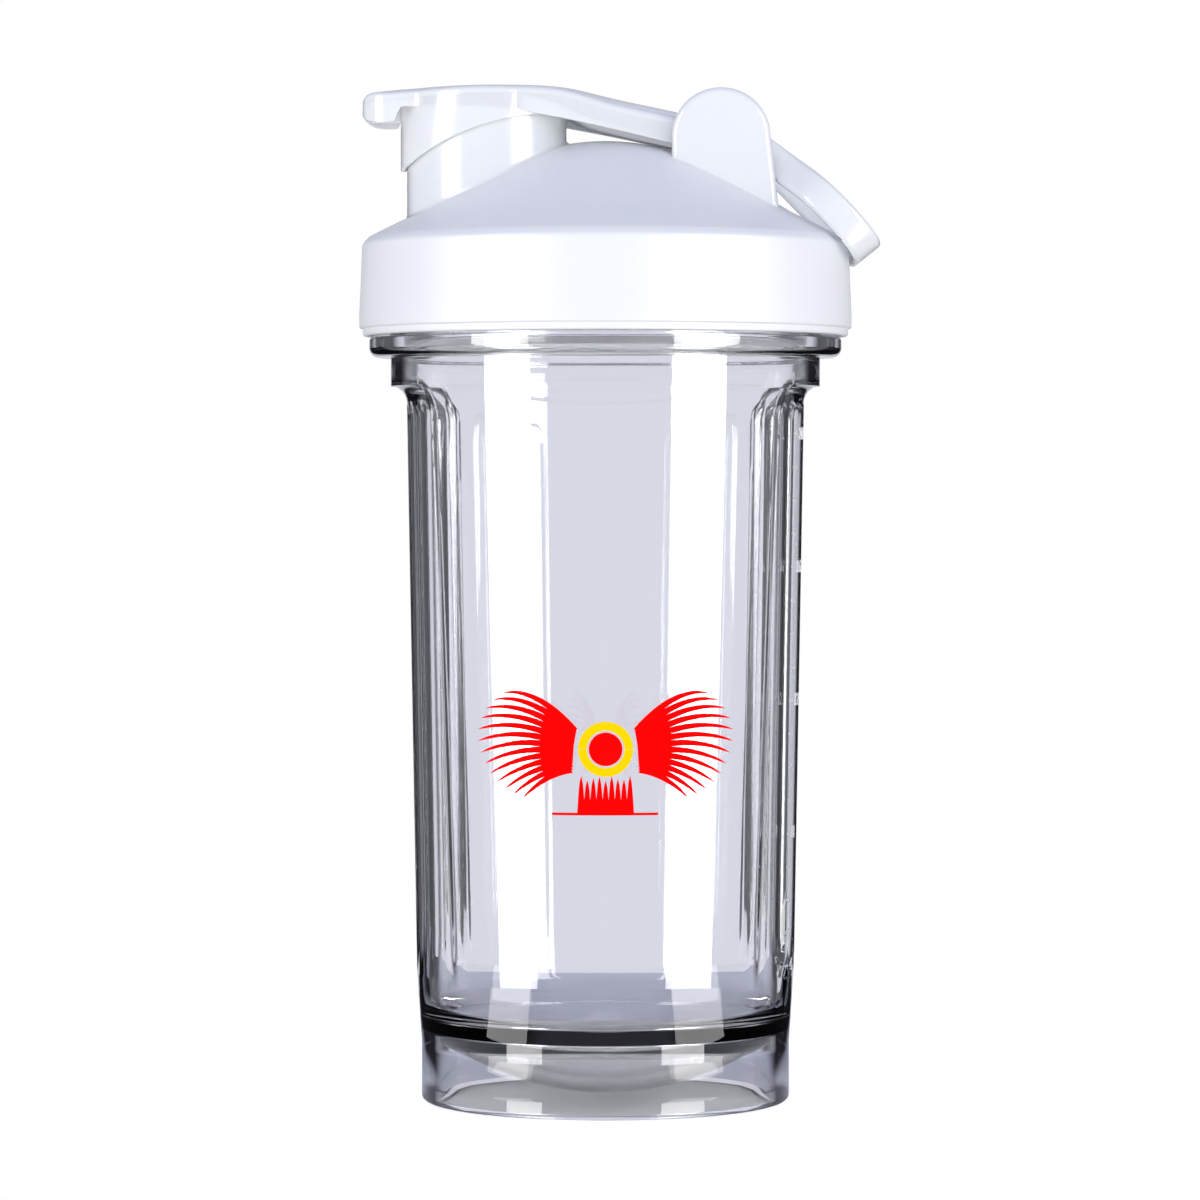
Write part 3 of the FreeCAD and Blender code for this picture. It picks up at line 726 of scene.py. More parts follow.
def tick_tree():
    """Row of equal bars strung along a straight line."""
    tree = bpy.data.node_groups.get("scale_ticks")
    if tree:
        return tree
    tree, given = new_group(
        "scale_ticks", "GeometryNodeTree",
        (("Count", "Int", TICK_COUNT), ("Start", "Vector", None), ("Step", "Vector", None),
         ("Bar", "Vector", None), ("Turn", "Float", 0.0), ("Material", "Material", None)),
        (("Geometry", "Geometry"),))
    line = add_node(tree, "GeometryNodeMeshLine", Count=given["Count"], Start_Location=given["Start"],
                    Offset=given["Step"])
    bar = add_node(tree, "GeometryNodeMeshCube", Size=given["Bar"])
    turn = add_node(tree, "ShaderNodeCombineXYZ", Z=given["Turn"])
    strung = add_node(tree, "GeometryNodeInstanceOnPoints", Points=line.outputs[0],
                      Instance=bar.outputs["Mesh"], Rotation=turn.outputs[0])
    return end_tree(tree, given, strung.outputs[0])


def label_mesh(text, height):
    """A numeral wrapped on the scale strip as a thin closed solid."""
    curve = bpy.data.curves.new("label", "FONT")
    curve.body = text
    curve.size = LABEL_SIZE
    curve.extrude = 0.09
    curve.align_y = "CENTER"
    carrier = bpy.data.objects.new("label", curve)
    bpy.context.scene.collection.objects.link(carrier)
    mesh = evaluated_mesh(carrier)
    bpy.data.objects.remove(carrier)
    bpy.data.curves.remove(curve)
    bm = reopened(mesh)
    shift, lift = LABEL_SHIFT
    for vert in bm.verts:
        vert.co = strip_point(vert.co.x + shift, height + vert.co.y, vert.co.z + lift) * MM
    return finish_mesh("label", bm)


def build_scale():
    """Ticks up the scale strip, with a numeral beside every fourth one."""
    low = strip_point(TICK_ACROSS, SCALE_LOW, 0.05)
    high = strip_point(TICK_ACROSS, SCALE_LOW + SCALE_STEP * 4, 0.05)
    ticks = grown(tick_tree(), **{
        "Count": TICK_COUNT, "Start": low * MM, "Step": (high - low) * MM / (TICK_COUNT - 1),
        "Bar": Vector(TICK_BAR) * MM, "Turn": math.radians(STRIP_ANGLE),
        "Material": material(scale_white)})
    labels = [label_mesh(text, SCALE_LOW + SCALE_STEP * index)
              for index, text in enumerate(SCALE_LABELS)]
    piece("scale_marks", joined("scale_marks", [ticks] + labels), material(scale_white), "cup")


# ---------------------------------------------------------------- printed badge

BADGE_HEIGHT = 73.4
BADGE_FOOT = 60.4
STROKES = 13
STROKE_WIDTH = 1.45
BARS = 9
BAR_WIDTH = 1.5
BAR_TOP = 67.6
INK_BACK = 0.012


def printed_patch(name, outline, steps):
    """Thin closed patch of ink on the cup's front; outline(u, v) gives (across, height)."""
    lift = in_mm(sizes().print_lift)
    rows, columns = steps
    bm = bmesh.new()
    skins = []
    for off in (lift, INK_BACK):
        skin = []
        for row in range(rows + 1):
            line = []
            for column in range(columns + 1):
                across, height = outline(column / columns, row / rows)
                radius = cone_radius(height) + off
                angle = across / cone_radius(height)
                line.append(bm.verts.new(Vector((radius * math.sin(angle), -radius * math.cos(angle),
                                                 height)) * MM))
            skin.append(line)
        skins.append(skin)
    front, back = skins
    for row in range(rows):
        for column in range(columns):
            for skin in skins:
                bm.faces.new((skin[row][column], skin[row][column + 1],
                              skin[row + 1][column + 1], skin[row + 1][column]))
    for row in range(rows):
        for column in (0, columns):
            bm.faces.new((front[row][column], front[row + 1][column],
                          back[row + 1][column], back[row][column]))
    for column in range(columns):
        for row in (0, rows):
            bm.faces.new((front[row][column], front[row][column + 1],
                          back[row][column + 1], back[row][column]))
    return finish_mesh(name, bm)


def blade(root, tip, width, sag=0.0):
    """Outline of a straight blade that narrows towards its tip and may sag a little."""
    root, tip = Vector(root), Vector(tip)
    along = (tip - root).normalized()
    aside = Vector((-along.y, along.x))

    def outline(across_share, up_share):
        half = width / 2 * (1 - up_share) ** 0.55 + 0.05
        point = root.lerp(tip, up_share) + aside * half * (2 * across_share - 1)
        point.y += sag * up_share * (1 - up_share) * 4
        return point
    return outline


def arc_band(inner, outer, first, last):
    """Outline of a part ring about the badge's middle, between two angles in degrees."""
    def outline(across_share, up_share):
        angle = math.radians(first + (last - first) * across_share)
        reach = inner + (outer - inner) * up_share
        return reach * math.cos(angle), BADGE_HEIGHT + reach * math.sin(angle)
    return outline


def disc_outline(radius):
    """Outline of a disc in the badge's middle, as chords stacked from its foot to its top."""
    def outline(across_share, up_share):
        angle = math.pi * (0.02 + 0.96 * up_share)
        return (radius * math.sin(angle) * (2 * across_share - 1),
                BADGE_HEIGHT - radius * math.cos(angle))
    return outline


def build_print():
    """Plain generic badge: sweeping strokes to each side of a ring, over a block of short bars."""
    red = []
    for side in (-1, 1):
        for index in range(STROKES):
            share = index / (STROKES - 1)
            reach = 17.0 + 5.4 * math.sin(math.pi * min(share * 1.1, 0.5)) - 11.0 * share ** 2.2
            slope = math.radians(26 - 56 * share)
            root = (side * (5.9 + 0.9 * share), BADGE_HEIGHT + 3.4 - 7.4 * share)
            tip = (root[0] + side * reach * math.cos(slope), root[1] + reach * math.sin(slope))
            outline = blade(root, tip, STROKE_WIDTH, 2.6 - 1.6 * share)
            red.append(printed_patch("stroke", outline, (16, 2)))
    for index in range(BARS):
        across = 1.2 * (index - (BARS - 1) / 2)
        top = BAR_TOP + 0.5 * math.cos(index * 2.4)
        red.append(printed_patch("bar", blade((across, BADGE_FOOT), (across, top), BAR_WIDTH), (6, 2)))
    red.append(printed_patch("foot", lambda u, v: (-10.6 + 21.0 * u, BADGE_FOOT + 0.5 * v), (1, 30)))
    red.append(printed_patch("disc", disc_outline(3.3), (40, 4)))
    piece("badge_red", joined("badge_red", red), material(main_ink), "cup")
    gold = [printed_patch("ring", arc_band(3.7, 5.4, 180 * half + 0.2, 180 * half + 179.8), (2, 40))
            for half in (0, 1)]
    piece("badge_gold", joined("badge_gold", gold), material(accent_ink), "cup")


# ---------------------------------------------------------------- lid

LID = {
    "lip": 49.3, "bottom": in_mm(LID_LOW[2]), "lip_top": 157.0, "radius": in_mm(LID_HIGH[1]),
    "side_top": 173.9, "shoulder": 48.0, "shoulder_height": 175.4,
    "crease": 38.3, "crease_height": 180.2,
    "dome": 48.0, "dome_edge": 24.0, "apex": 194.9,
    "bore": 46.8, "ceiling": 172.2, "wall": 2.4,
    "ring_inner": 38.4, "ring_outer": 40.2, "ring_low": 162.0,
}
SPOUT = {"x": -24.1, "radius": 16.2, "bore": 14.8, "top": 201.2, "fillet": 1.1, "drill": (176.5, 210)}
EAR = {"radius": 9.9, "foot_x": 34.9, "inner": 10.6, "outer": 14.6}


def dome_height(radius):
    """Height of the lid's outer top at a distance from the axis."""
    if radius < LID["dome_edge"]:
        return LID["apex"] - LID["dome"] + math.sqrt(LID["dome"] ** 2 - radius * radius)
    edge_height = LID["apex"] - LID["dome"] + math.sqrt(LID["dome"] ** 2 - LID["dome_edge"] ** 2)
    if radius < LID["crease"]:
        share = (radius - LID["dome_edge"]) / (LID["crease"] - LID["dome_edge"])
        return edge_height + share * (LID["crease_height"] - edge_height)
    share = (radius - LID["crease"]) / (LID["shoulder"] - LID["crease"])
    return LID["crease_height"] + share * (LID["shoulder_height"] - LID["crease_height"])


def lid_path():
    centre = LID["apex"] - LID["dome"]
    outer = arc_points(centre, LID["dome"], 0, LID["dome_edge"], 24)
    inner = arc_points(centre, LID["dome"] - LID["wall"], 22.8, 0, 20)
    sides = [
        (LID["crease"], LID["crease_height"], 6.0),
        (LID["shoulder"], LID["shoulder_height"], 1.6),
        (LID["radius"] - 0.6, LID["side_top"], 1.6),
        (LID["radius"] - 0.25, 165.0, 40.0),
        (LID["radius"], 160.0, 10.0),
        (LID["radius"], LID["lip_top"], 0.35),
        (LID["lip"], LID["lip_top"] - 0.3, 0.2),
        (LID["lip"], LID["bottom"], 0.5),
        (LID["bore"], LID["bottom"], 0.5),
        (LID["bore"], LID["ceiling"], 0.6),
        (LID["ring_outer"], LID["ceiling"], 0.5),
        (LID["ring_outer"], LID["ring_low"], 0.5),
        (LID["ring_inner"], LID["ring_low"], 0.5),
        (LID["ring_inner"], LID["crease_height"] - 2.8, 0.6),
    ]
    return [tuple(point) for point in rounded_path(outer + sides + inner, step=3.0)]


def with_spout_hole(mesh):
    """Opens the dome where the spout stands on it."""
    shell = bpy.data.objects.new("shell", mesh)
    radius = (SPOUT["radius"] + SPOUT["bore"]) / 2
    low, high = SPOUT["drill"]
    path = [(0, low), (radius, low), (radius, high), (0, high)]
    drill = bpy.data.objects.new("drill", turned("drill", path, 128))
    drill.data.transform(Matrix.Translation(Vector((SPOUT["x"], 0, 0)) * MM))
    for item in (shell, drill):
        bpy.context.scene.collection.objects.link(item)
    cutter = shell.modifiers.new("hole", "BOOLEAN")
    cutter.operation = "DIFFERENCE"
    cutter.solver = "EXACT"
    cutter.object = drill
    result = evaluated_mesh(shell)
    for item in (shell, drill):
        old = item.data
        bpy.data.objects.remove(item)
        bpy.data.meshes.remove(old)
    return result


def spout_mesh():
    """Tube that grows out of the dome with a small fillet, closed into the dome's thickness."""
    radius, bore, top, fillet = SPOUT["radius"], SPOUT["bore"], SPOUT["top"], SPOUT["fillet"]
    slant = LID["wall"] / 0.866
    columns = 128
    steps = 8

    def column_path(angle):
        def at(reach):
            across = SPOUT["x"] + reach * math.cos(angle)
            return math.hypot(across, reach * math.sin(angle))
        foot = dome_height(at(radius + fillet)) - 0.04
        wall = dome_height(at(radius)) + fillet
        path = []
        for part in range(steps + 1):
            share = part / steps
            path.append((radius + fillet * (1 - share) ** 2,
                         (1 - share) ** 2 * foot + 2 * share * (1 - share) * (foot + 0.1 * fillet)
                         + share ** 2 * wall))
        lip = rounded_path([(radius, wall, 0), (radius, top, 0.6), (bore, top, 0.6), (bore, top - 4, 0)], 30)
        path += [tuple(point) for point in lip[1:]]
        inside = dome_height(min(at(bore), LID["ring_inner"])) - slant - 0.3
        outside = dome_height(min(at(radius), LID["ring_inner"])) - slant + 0.4
        path += [(bore, inside), (radius + 0.2, outside)]
        return path

    paths = [column_path(math.tau * column / columns) for column in range(columns)]

    def place(row, column):
        angle = math.tau * column / columns
        reach, height = paths[column][row]
        return SPOUT["x"] + reach * math.cos(angle), reach * math.sin(angle), height
    return lattice("spout", len(paths[0]), columns, place, wrap_rows=True)


def ear_outline():
    """Tombstone outline whose foot follows the dome, anticlockwise in (x, z)."""
    middle = (EAR["inner"] + EAR["outer"]) / 2
    left = HINGE_X - EAR["radius"]
    points = []
    for part in range(9):
        across = left + (EAR["foot_x"] - left) * part / 8
        points.append(Vector((across, dome_height(math.hypot(across, middle)) - 1.5)))
    right = HINGE_X + EAR["radius"]
    foot = points[-1]
    for part in range(1, 6):
        points.append(foot.lerp(Vector((right, HINGE_Z)), part / 6))
    for part in range(49):
        angle = math.pi * part / 48
        points.append(Vector((HINGE_X + EAR["radius"] * math.cos(angle),
                              HINGE_Z + EAR["radius"] * math.sin(angle))))
    top = points[-1]
    for part in range(1, 3):
        points.append(top.lerp(points[0], part / 3))
    return points


def build_lid():
    """Lid shell with its spout hole, and the spout and ears in a glossier finish with deeper painted edge
    shade.
    """
    shell = with_spout_hole(turned("lid_shell", lid_path(), 256))
    parts = [spout_mesh()]
    for sign in (-1, 1):
        parts.append(rounded_slab("ear", ear_outline(), EAR["inner"], EAR["outer"],
                                  in_mm(sizes().ear_round),
                                  lambda across, up, depth, sign=sign: (across, sign * depth, up)))
    piece("lid_shell", shell, material(satin_white), "lid", ("lid",), 35)
    piece("lid_spout_and_ears", joined("lid_spout_and_ears", parts), material(glossy_white), "lid",
          (), 35)


# ---------------------------------------------------------------- flip cap

CAP = {
    "tip": -49.1, "head_x": -24.1, "head": 17.5, "end": 14.5, "end_half": 10.0, "tab": 11.0,
    "tab_corner": 6.0, "guard_bore": 16.65, "guard_arc": 58.8, "guard_arc_x": -7.3, "guard_arc_z": 141.0,
    "plug": 13.4, "plug_bore": 11.6, "plug_groove": 12.6,
}


def through(points, across):
    """Smooth curve through a few (across, height) points, read at one place."""
    if across <= points[0][0]:
        return points[0][1]
    for index in range(len(points) - 1):
        (x0, y0), (x1, y1) = points[index], points[index + 1]
        if across <= x1:
            slopes = []
            for place in (index, index + 1):
                before = points[max(place - 1, 0)]
                after = points[min(place + 1, len(points) - 1)]
                slopes.append((after[1] - before[1]) / (after[0] - before[0]))
            share = (across - x0) / (x1 - x0)
            span = x1 - x0
            return ((2 * share ** 3 - 3 * share ** 2 + 1) * y0
                    + (share ** 3 - 2 * share ** 2 + share) * span * slopes[0]
                    + (3 * share ** 2 - 2 * share ** 3) * y1
                    + (share ** 3 - share ** 2) * span * slopes[1])
    return points[-1][1]


CAP_TOP = ((-49.1, 203.2), (-46.5, 204.6), (-40.0, 205.4), (-30.0, 205.95), (-20.0, 206.1),
           (-13.0, 206.0), (-6.8, 205.4), (3.0, 203.2), (14.5, 200.8))
CAP_UNDER = ((-49.1, 201.4), (-46.0, 202.1), (-41.0, 202.5), (-24.0, 202.9), (-14.0, 202.2),
             (-9.0, 200.6), (-4.0, 198.4), (3.0, 196.6), (14.5, 193.9))
CAP_RIM = ((-49.1, 199.4), (-48.3, 198.7), (-46.6, 198.2), (-42.9, 198.2), (-42.2, 198.7),
           (-41.6, 200.8), (-41.0, 201.2), (-30.0, 201.0), (-24.0, 200.7), (-16.0, 199.9),
           (-8.7, 198.7), (3.0, 196.3), (14.5, 193.6))


def cap_half_width(across):
    """Half width of the cap in plan: thumb tab, round head and narrowing arm."""
    corner = CAP["tab_corner"]
    inset = max(0.0, corner - (across - CAP["tip"]))
    tab = CAP["tab"] - corner + math.sqrt(max(corner * corner - inset * inset, 0.0))
    head = math.sqrt(max(CAP["head"] ** 2 - (across - CAP["head_x"]) ** 2, 0.0))
    if across < CAP["head_x"]:
        blend = 1.6
        share = max(blend - abs(head - tab), 0.0) / blend
        return max(head, tab) + share * share * blend / 4
    share = (across - CAP["head_x"]) / (CAP["end"] - CAP["head_x"])
    return max(head, CAP["head"] + (CAP["end_half"] - CAP["head"]) * share)


def cap_crown(across):
    return (in_mm(sizes().cap_crown) + 0.8 * smooth(-12, 2, across)) * smooth(CAP["tip"], -43, across)


def cap_stations():
    """Places along the cap, close together round the tip."""
    stations = [CAP["tip"] + 0.06 * part * part for part in range(9)]
    while stations[-1] < CAP["end"] - 0.7:
        stations.append(stations[-1] + 0.7)
    return stations + [CAP["end"]]


def cap_arm_mesh():
    """Arm and thumb tab as rounded sections strung along X."""
    edge = in_mm(sizes().cap_round)
    across_steps = 16
    corner_steps = 5

    def section(across, shrink):
        half = cap_half_width(across) - shrink
        high = through(CAP_TOP, across) - shrink
        low = through(CAP_UNDER, across) + min(shrink, 0.5)
        crown = cap_crown(across)
        radius = max(min(edge, (high - crown - low) / 2 - 0.05), 0.05)
        points = []
        for quarter, (sign_y, sign_z) in enumerate(((1, 1), (-1, 1), (-1, -1), (1, -1))):
            for part in range(corner_steps + 1):
                angle = math.radians(90 * quarter + 90 * part / corner_steps)
                along = sign_y * (half - radius) + radius * math.cos(angle)
                up = (high - radius if sign_z > 0 else low + radius) + radius * math.sin(angle)
                points.append((along, up, sign_z))
            if quarter in (0, 2):
                for part in range(1, across_steps):
                    share = sign_y * (1 - 2 * part / across_steps)
                    points.append(((half - radius) * share, high if sign_z > 0 else low, sign_z))
        return [(across, along, up - crown * (along / (half + 0.01)) ** 2 if side > 0 else up)
                for along, up, side in points]

    rings = []
    for across in cap_stations():
        along = across - CAP["tip"]
        shrink = edge - math.sqrt(edge * edge - (edge - along) ** 2) if along < edge else 0.0
        rings.append(section(across, shrink))
    return lofted("cap_arm", rings)


def cap_rim_mesh():
    """Thin rim turned down round the cap, deeper under the thumb tab's tip."""
    thick = in_mm(sizes().cap_rim)
    gap = 0.04
    side = [Vector((across, cap_half_width(across) - gap)) for across in cap_stations()[1:]]
    tip = [Vector((CAP["tip"] + 0.02, reach)) for reach in (-3.5, -2.0, 0.0, 2.0, 3.5)]
    route = [Vector((point.x, -point.y)) for point in reversed(side)] + tip + side
    rings = []
    for index, point in enumerate(route):
        ahead = route[min(index + 1, len(route) - 1)] - route[max(index - 1, 0)]
        ahead.normalize()
        inward = Vector((ahead.y, -ahead.x))
        low = through(CAP_RIM, point.x)
        high = through(CAP_TOP, point.x) - cap_crown(point.x) - 1.3
        ring = []
        for offset, up in ((0, high), (0, low + 0.35), (0.1, low + 0.1), (0.35, low),
                           (thick - 0.25, low), (thick - 0.05, low + 0.1), (thick, low + 0.3),
                           (thick, high)):
            ring.append((*(point + inward * offset), up))
        rings.append(ring)
    return lofted("cap_rim", rings)


def tab_rib_mesh():
    """Short stiffening rib between the tab's lip and the guard."""
    outline = [Vector(corner) for corner in (
        (-47.6, 198.6), (-41.5, 198.6), (-41.5, 203.0), (-47.6, 203.0))]
    return rounded_slab("rib", outline, -0.9, 0.9, 0.3, lambda across, up, depth: (across, depth, up))


def guard_mesh():
    """Skirt round the spout, cut to a falling arc."""
    columns = 128

    def place(row, column):
        angle = math.tau * column / columns
        across = CAP["head_x"] + CAP["head"] * math.cos(angle)
        low = CAP["guard_arc_z"] + math.sqrt(CAP["guard_arc"] ** 2 - (across - CAP["guard_arc_x"]) ** 2)
        top = through(CAP_TOP, across) - 2.6
        low = min(low, top - 0.5)
        outer, inner = CAP["head"] - 0.02, CAP["guard_bore"]
        loop = [(outer, top), (outer, low + 0.25), (outer - 0.07, low + 0.07), (outer - 0.25, low),
                (inner + 0.2, low), (inner + 0.05, low + 0.08), (inner, low + 0.25), (inner, top)]
        reach, height = loop[row]
        return (CAP["head_x"] + reach * math.cos(angle), reach * math.sin(angle), height)
    return lattice("guard", 8, columns, place, wrap_rows=True)


def plug_mesh():
    """Plug that reaches into the spout, with a groove for its seal."""
    path = rounded_path([
        (CAP["plug_bore"], 203.4, 0), (CAP["plug_bore"], 197.8, 0.4), (CAP["plug"] - 0.6, 197.8, 0.4),
        (CAP["plug"], 198.6, 0.2), (CAP["plug_groove"], 198.6, 0), (CAP["plug_groove"], 200.4, 0),
        (CAP["plug"], 200.4, 0.1), (CAP["plug"], 203.4, 0)], 30)
    return about_axis("plug", path, 96, lambda radius, height, cosine, sine: (
        CAP["head_x"] + radius * cosine, radius * sine, height))


PIN_HOLE = 2.05
CAP_KNUCKLE = 4.9
CAP_KNUCKLE_END = 5.2


def knuckle_mesh(inner_y, outer_y, radius):
    """Hinge knuckle with its pin hole, along Y."""
    path = rounded_path([
        (PIN_HOLE, inner_y, 0), (radius, inner_y, 0.4), (radius, outer_y, 0.4), (PIN_HOLE, outer_y, 0)], 30)
    return about_axis("knuckle", path, 64, lambda reach, along, cosine, sine: (
        HINGE_X + reach * cosine, along, HINGE_Z + reach * sine))


def tongue_mesh():
    """Bridge from the arm to the centre knuckle."""
    outline = [Vector(corner) for corner in (
        (CAP["end"] - 2, 194.8), (HINGE_X - 3.4, 195.0), (HINGE_X - 3.4, 198.4),
        (HINGE_X - 1.0, 199.7), (CAP["end"] - 2, 200.4))]
    return rounded_slab("tongue", outline, -CAP_KNUCKLE_END, CAP_KNUCKLE_END, 0.3,
                        lambda across, up, depth: (across, depth, up))


def build_flip_cap():
    parts = [cap_arm_mesh(), cap_rim_mesh(), tab_rib_mesh(), guard_mesh(), plug_mesh(),
             knuckle_mesh(-CAP_KNUCKLE_END, CAP_KNUCKLE_END, CAP_KNUCKLE), tongue_mesh()]
    piece("flip_cap_shell", joined("flip_cap_shell", parts), material(glossy_white), "flip_cap",
          ("flip_cap",), 35)


# ---------------------------------------------------------------- carry loop

LOOP = {
    "arc": 110.85, "centre_x": -33.8, "centre_z": 102.8, "root_angle": 58.3,
    "neck_y": 7.9, "neck_end": 13.3, "flare_end": 22.5, "side_y": 18.75, "corner": 7.0, "end": 37.0,
    "knuckle": 5.4, "knuckle_near": 5.6, "knuckle_far": 10.2, "clearance": 0.75,
}


def loop_route():
    """Middle line of the band from the near knuckle round to the far one, as (run, y)."""
    half = rounded_path([
        (0.0, LOOP["neck_y"], 0), (LOOP["neck_end"], LOOP["neck_y"], 9.0),
        (LOOP["flare_end"], LOOP["side_y"], 9.0), (LOOP["end"], LOOP["side_y"], LOOP["corner"]),
        (LOOP["end"], 0.0, 0)], 1.2)
    mirrored = [Vector((point.x, -point.y)) for point in reversed(half[:-1])]
    return half + mirrored


def clear_of_lid(point):
    """Pushes a point of the loop off the lid's shoulder."""
    reach = math.hypot(point.x, point.y)
    clearance = LOOP["clearance"]
    if point.z < 174.6 and reach < LID["radius"] + clearance:
        scale = (LID["radius"] + clearance) / reach
        return Vector((point.x * scale, point.y * scale, point.z))
    if reach < LID["shoulder"] + 1:
        return Vector((point.x, point.y, max(point.z, dome_height(reach) + clearance)))
    return point


def loop_band_mesh():
    route = loop_route()
    band, depth = in_mm(sizes().loop_band), in_mm(sizes().loop_depth)
    edge = 1.0
    section = []
    for base, sign_p, sign_n in ((0, 1, 1), (90, -1, 1), (180, -1, -1), (270, 1, -1)):
        for part in range(6):
            angle = math.radians(base + 18 * part)
            section.append((sign_p * (band / 2 - edge) + edge * math.cos(angle),
                            sign_n * (depth / 2 - edge) + edge * math.sin(angle)))

    def place(row, column):
        point = route[row]
        ahead = route[min(row + 1, len(route) - 1)] - route[max(row - 1, 0)]
        ahead.normalize()
        side = Vector((ahead.y, -ahead.x))
        offset, rise = section[column]
        spot = point + side * offset
        angle = math.radians(LOOP["root_angle"]) - spot.x / LOOP["arc"]
        reach = LOOP["arc"] + rise
        return clear_of_lid(Vector((LOOP["centre_x"] + reach * math.cos(angle), spot.y,
                                    LOOP["centre_z"] + reach * math.sin(angle))))

    bm = reopened(lattice("band", len(route), len(section), place))
    bmesh.ops.holes_fill(bm, edges=[edge for edge in bm.edges if edge.is_boundary])
    return finish_mesh("band", bm)


def build_carry_loop():
    near, far, radius = LOOP["knuckle_near"], LOOP["knuckle_far"], LOOP["knuckle"]
    parts = [loop_band_mesh(), knuckle_mesh(-far, -near, radius), knuckle_mesh(near, far, radius)]
    piece("carry_loop_band", joined("carry_loop_band", parts), material(glossy_white), "carry_loop",
          ("carry_loop",), 35)


# ---------------------------------------------------------------- carried-over CAD nodes

def finish_cad_nodes():
    """Finishes for the small inner pieces whose CAD shape is right."""
    finishes = {"hinge_pin": pin_white, "lid_seal": soft_silicone, "spout_seal": soft_silicone,
                "mixing_grid": inner_white}
    for node, finish in finishes.items():
        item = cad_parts[node]
        item.data.materials.clear()
        item.data.materials.append(material(finish))


# ---------------------------------------------------------------- stage

EYE_DISTANCE = 1015.0
EYE_HEIGHT = 125.4
AIM = (-1.1, 0.0, 101.7)
SOFTBOX_SPANS = ((-66.0, -41.0), (36.0, 66.0))
SOFTBOX_REACH = 900.0
SOFTBOX_HALF_HEIGHT = 700.0
SOFTBOX_STRENGTH = 12.0
FLOOR_RADIUS = 160.0
FLOOR_PAINTED_SHADE_FROM = 0.054
FLOOR_PAINTED_SHADE_TO = 0.078
FLOOR_PAINTED_GLOW_FROM = 0.14


def build_camera():
    data = bpy.data.cameras.new("camera")
    data.lens = 149.5
    data.sensor_width = 36.0
    data.clip_start = 0.01
    camera = bpy.data.objects.new("camera", data)
    camera.location = Vector((AIM[0], -EYE_DISTANCE, EYE_HEIGHT)) * MM
    look = Vector(AIM) * MM - camera.location
    camera.rotation_euler = look.to_track_quat("-Z", "Y").to_euler()
    bpy.context.scene.collection.objects.link(camera)
    bpy.context.scene.camera = camera


def floor_material():
    """White where seen directly; in glass and gloss it shows painted shade, grey under the bottle and dark
    to the sides, and a painted glow at the bearings of the two softboxes."""
    recipe = Recipe("studio_floor", grain=40, flow=2, bump=0.02, rough=(0.55, 0.65))
    recipe.tint(colours().floor, darker(colours().floor, 0.985))
    recipe.set(Emission_Color=(1, 1, 1, 1), Specular_IOR_Level=0.0)
    tree = recipe.tree

    def of(kind, *values):
        return math_node(tree, kind, *values)

    where = tree.nodes.new("ShaderNodeTexCoord")
    across, back, _ = add_node(tree, "ShaderNodeSeparateXYZ", Vector=where.outputs["Object"]).outputs
    path = tree.nodes.new("ShaderNodeLightPath").outputs
    direct = path["Is Camera Ray"]
    # Painted shade: for glass and gloss rays the base colour falls from grey under the bottle to near black
    # at the sides.
    aside = of("ABSOLUTE", across)
    shade = add_node(tree, "ShaderNodeMapRange", Value=aside, From_Min=FLOOR_PAINTED_SHADE_FROM,
                     From_Max=FLOOR_PAINTED_SHADE_TO, To_Min=0.80, To_Max=0.03)
    plain = recipe.base.links[0].from_socket
    tree.links.new(mix_node(tree, "RGBA", direct, shade.outputs["Result"], plain), recipe.base)
    # Painted glow: floor emission at the softboxes' bearings, seen only in glass and gloss, standing in for
    # their light on the floor.
    angle = of("ARCTAN2", across, of("MULTIPLY", back, -1.0))
    spans = [of("COMPARE", angle, math.radians((first + last) / 2), math.radians((last - first) / 2))
             for first, last in SOFTBOX_SPANS]
    far = of("GREATER_THAN", of("ADD", aside, of("ABSOLUTE", back)), FLOOR_PAINTED_GLOW_FROM)
    glow = of("MULTIPLY", of("ADD", *spans), far)
    hidden = of("ADD", direct, path["Is Diffuse Ray"])
    glow = of("MULTIPLY", glow, of("SUBTRACT", 1.0, hidden))
    glow = of("MULTIPLY", glow, SOFTBOX_STRENGTH / 3)
    tree.links.new(of("MULTIPLY_ADD", direct, 0.6, glow), recipe.shader.inputs["Emission Strength"])
    return recipe.material


def build_floor():
    """Small round pale stage, bright enough to run into the white behind it."""
    path = [(0, -0.1), (FLOOR_RADIUS, -0.1), (FLOOR_RADIUS, -0.6), (0, -0.6)]
    mesh = turned("floor", path, 96)
    mesh.materials.append(floor_material())
    floor = bpy.data.objects.new("floor", mesh)
    bpy.context.scene.collection.objects.link(floor)


def background(tree, shade, strength=1.0):
    return add_node(tree, "ShaderNodeBackground", Color=shade, Strength=strength).outputs[0]


def choose(tree, mask, first, second):
    """The first shader where the mask is 0, the second where it is 1."""
    node = tree.nodes.new("ShaderNodeMixShader")
    for socket, value in zip(node.inputs, (mask, first, second)):
        tree.links.new(value, socket)
    return node.outputs[0]


GREY = (0.74, 0.75, 0.83)
FLAG = (0.015, 0.015, 0.02)
SIDE = (0.62, 0.63, 0.70)
BACKDROP_STOPS = ((0.0, GREY), (0.062, GREY), (0.072, FLAG), (0.215, FLAG), (0.26, SIDE), (1.0, SIDE))
DOME_STOPS = (
    (0.0, (0.95, 0.95, 1.0)), (0.52, (1.0, 1.0, 1.0)), (0.72, (0.58, 0.60, 0.78)),
    (1.0, (0.42, 0.44, 0.62)),
)


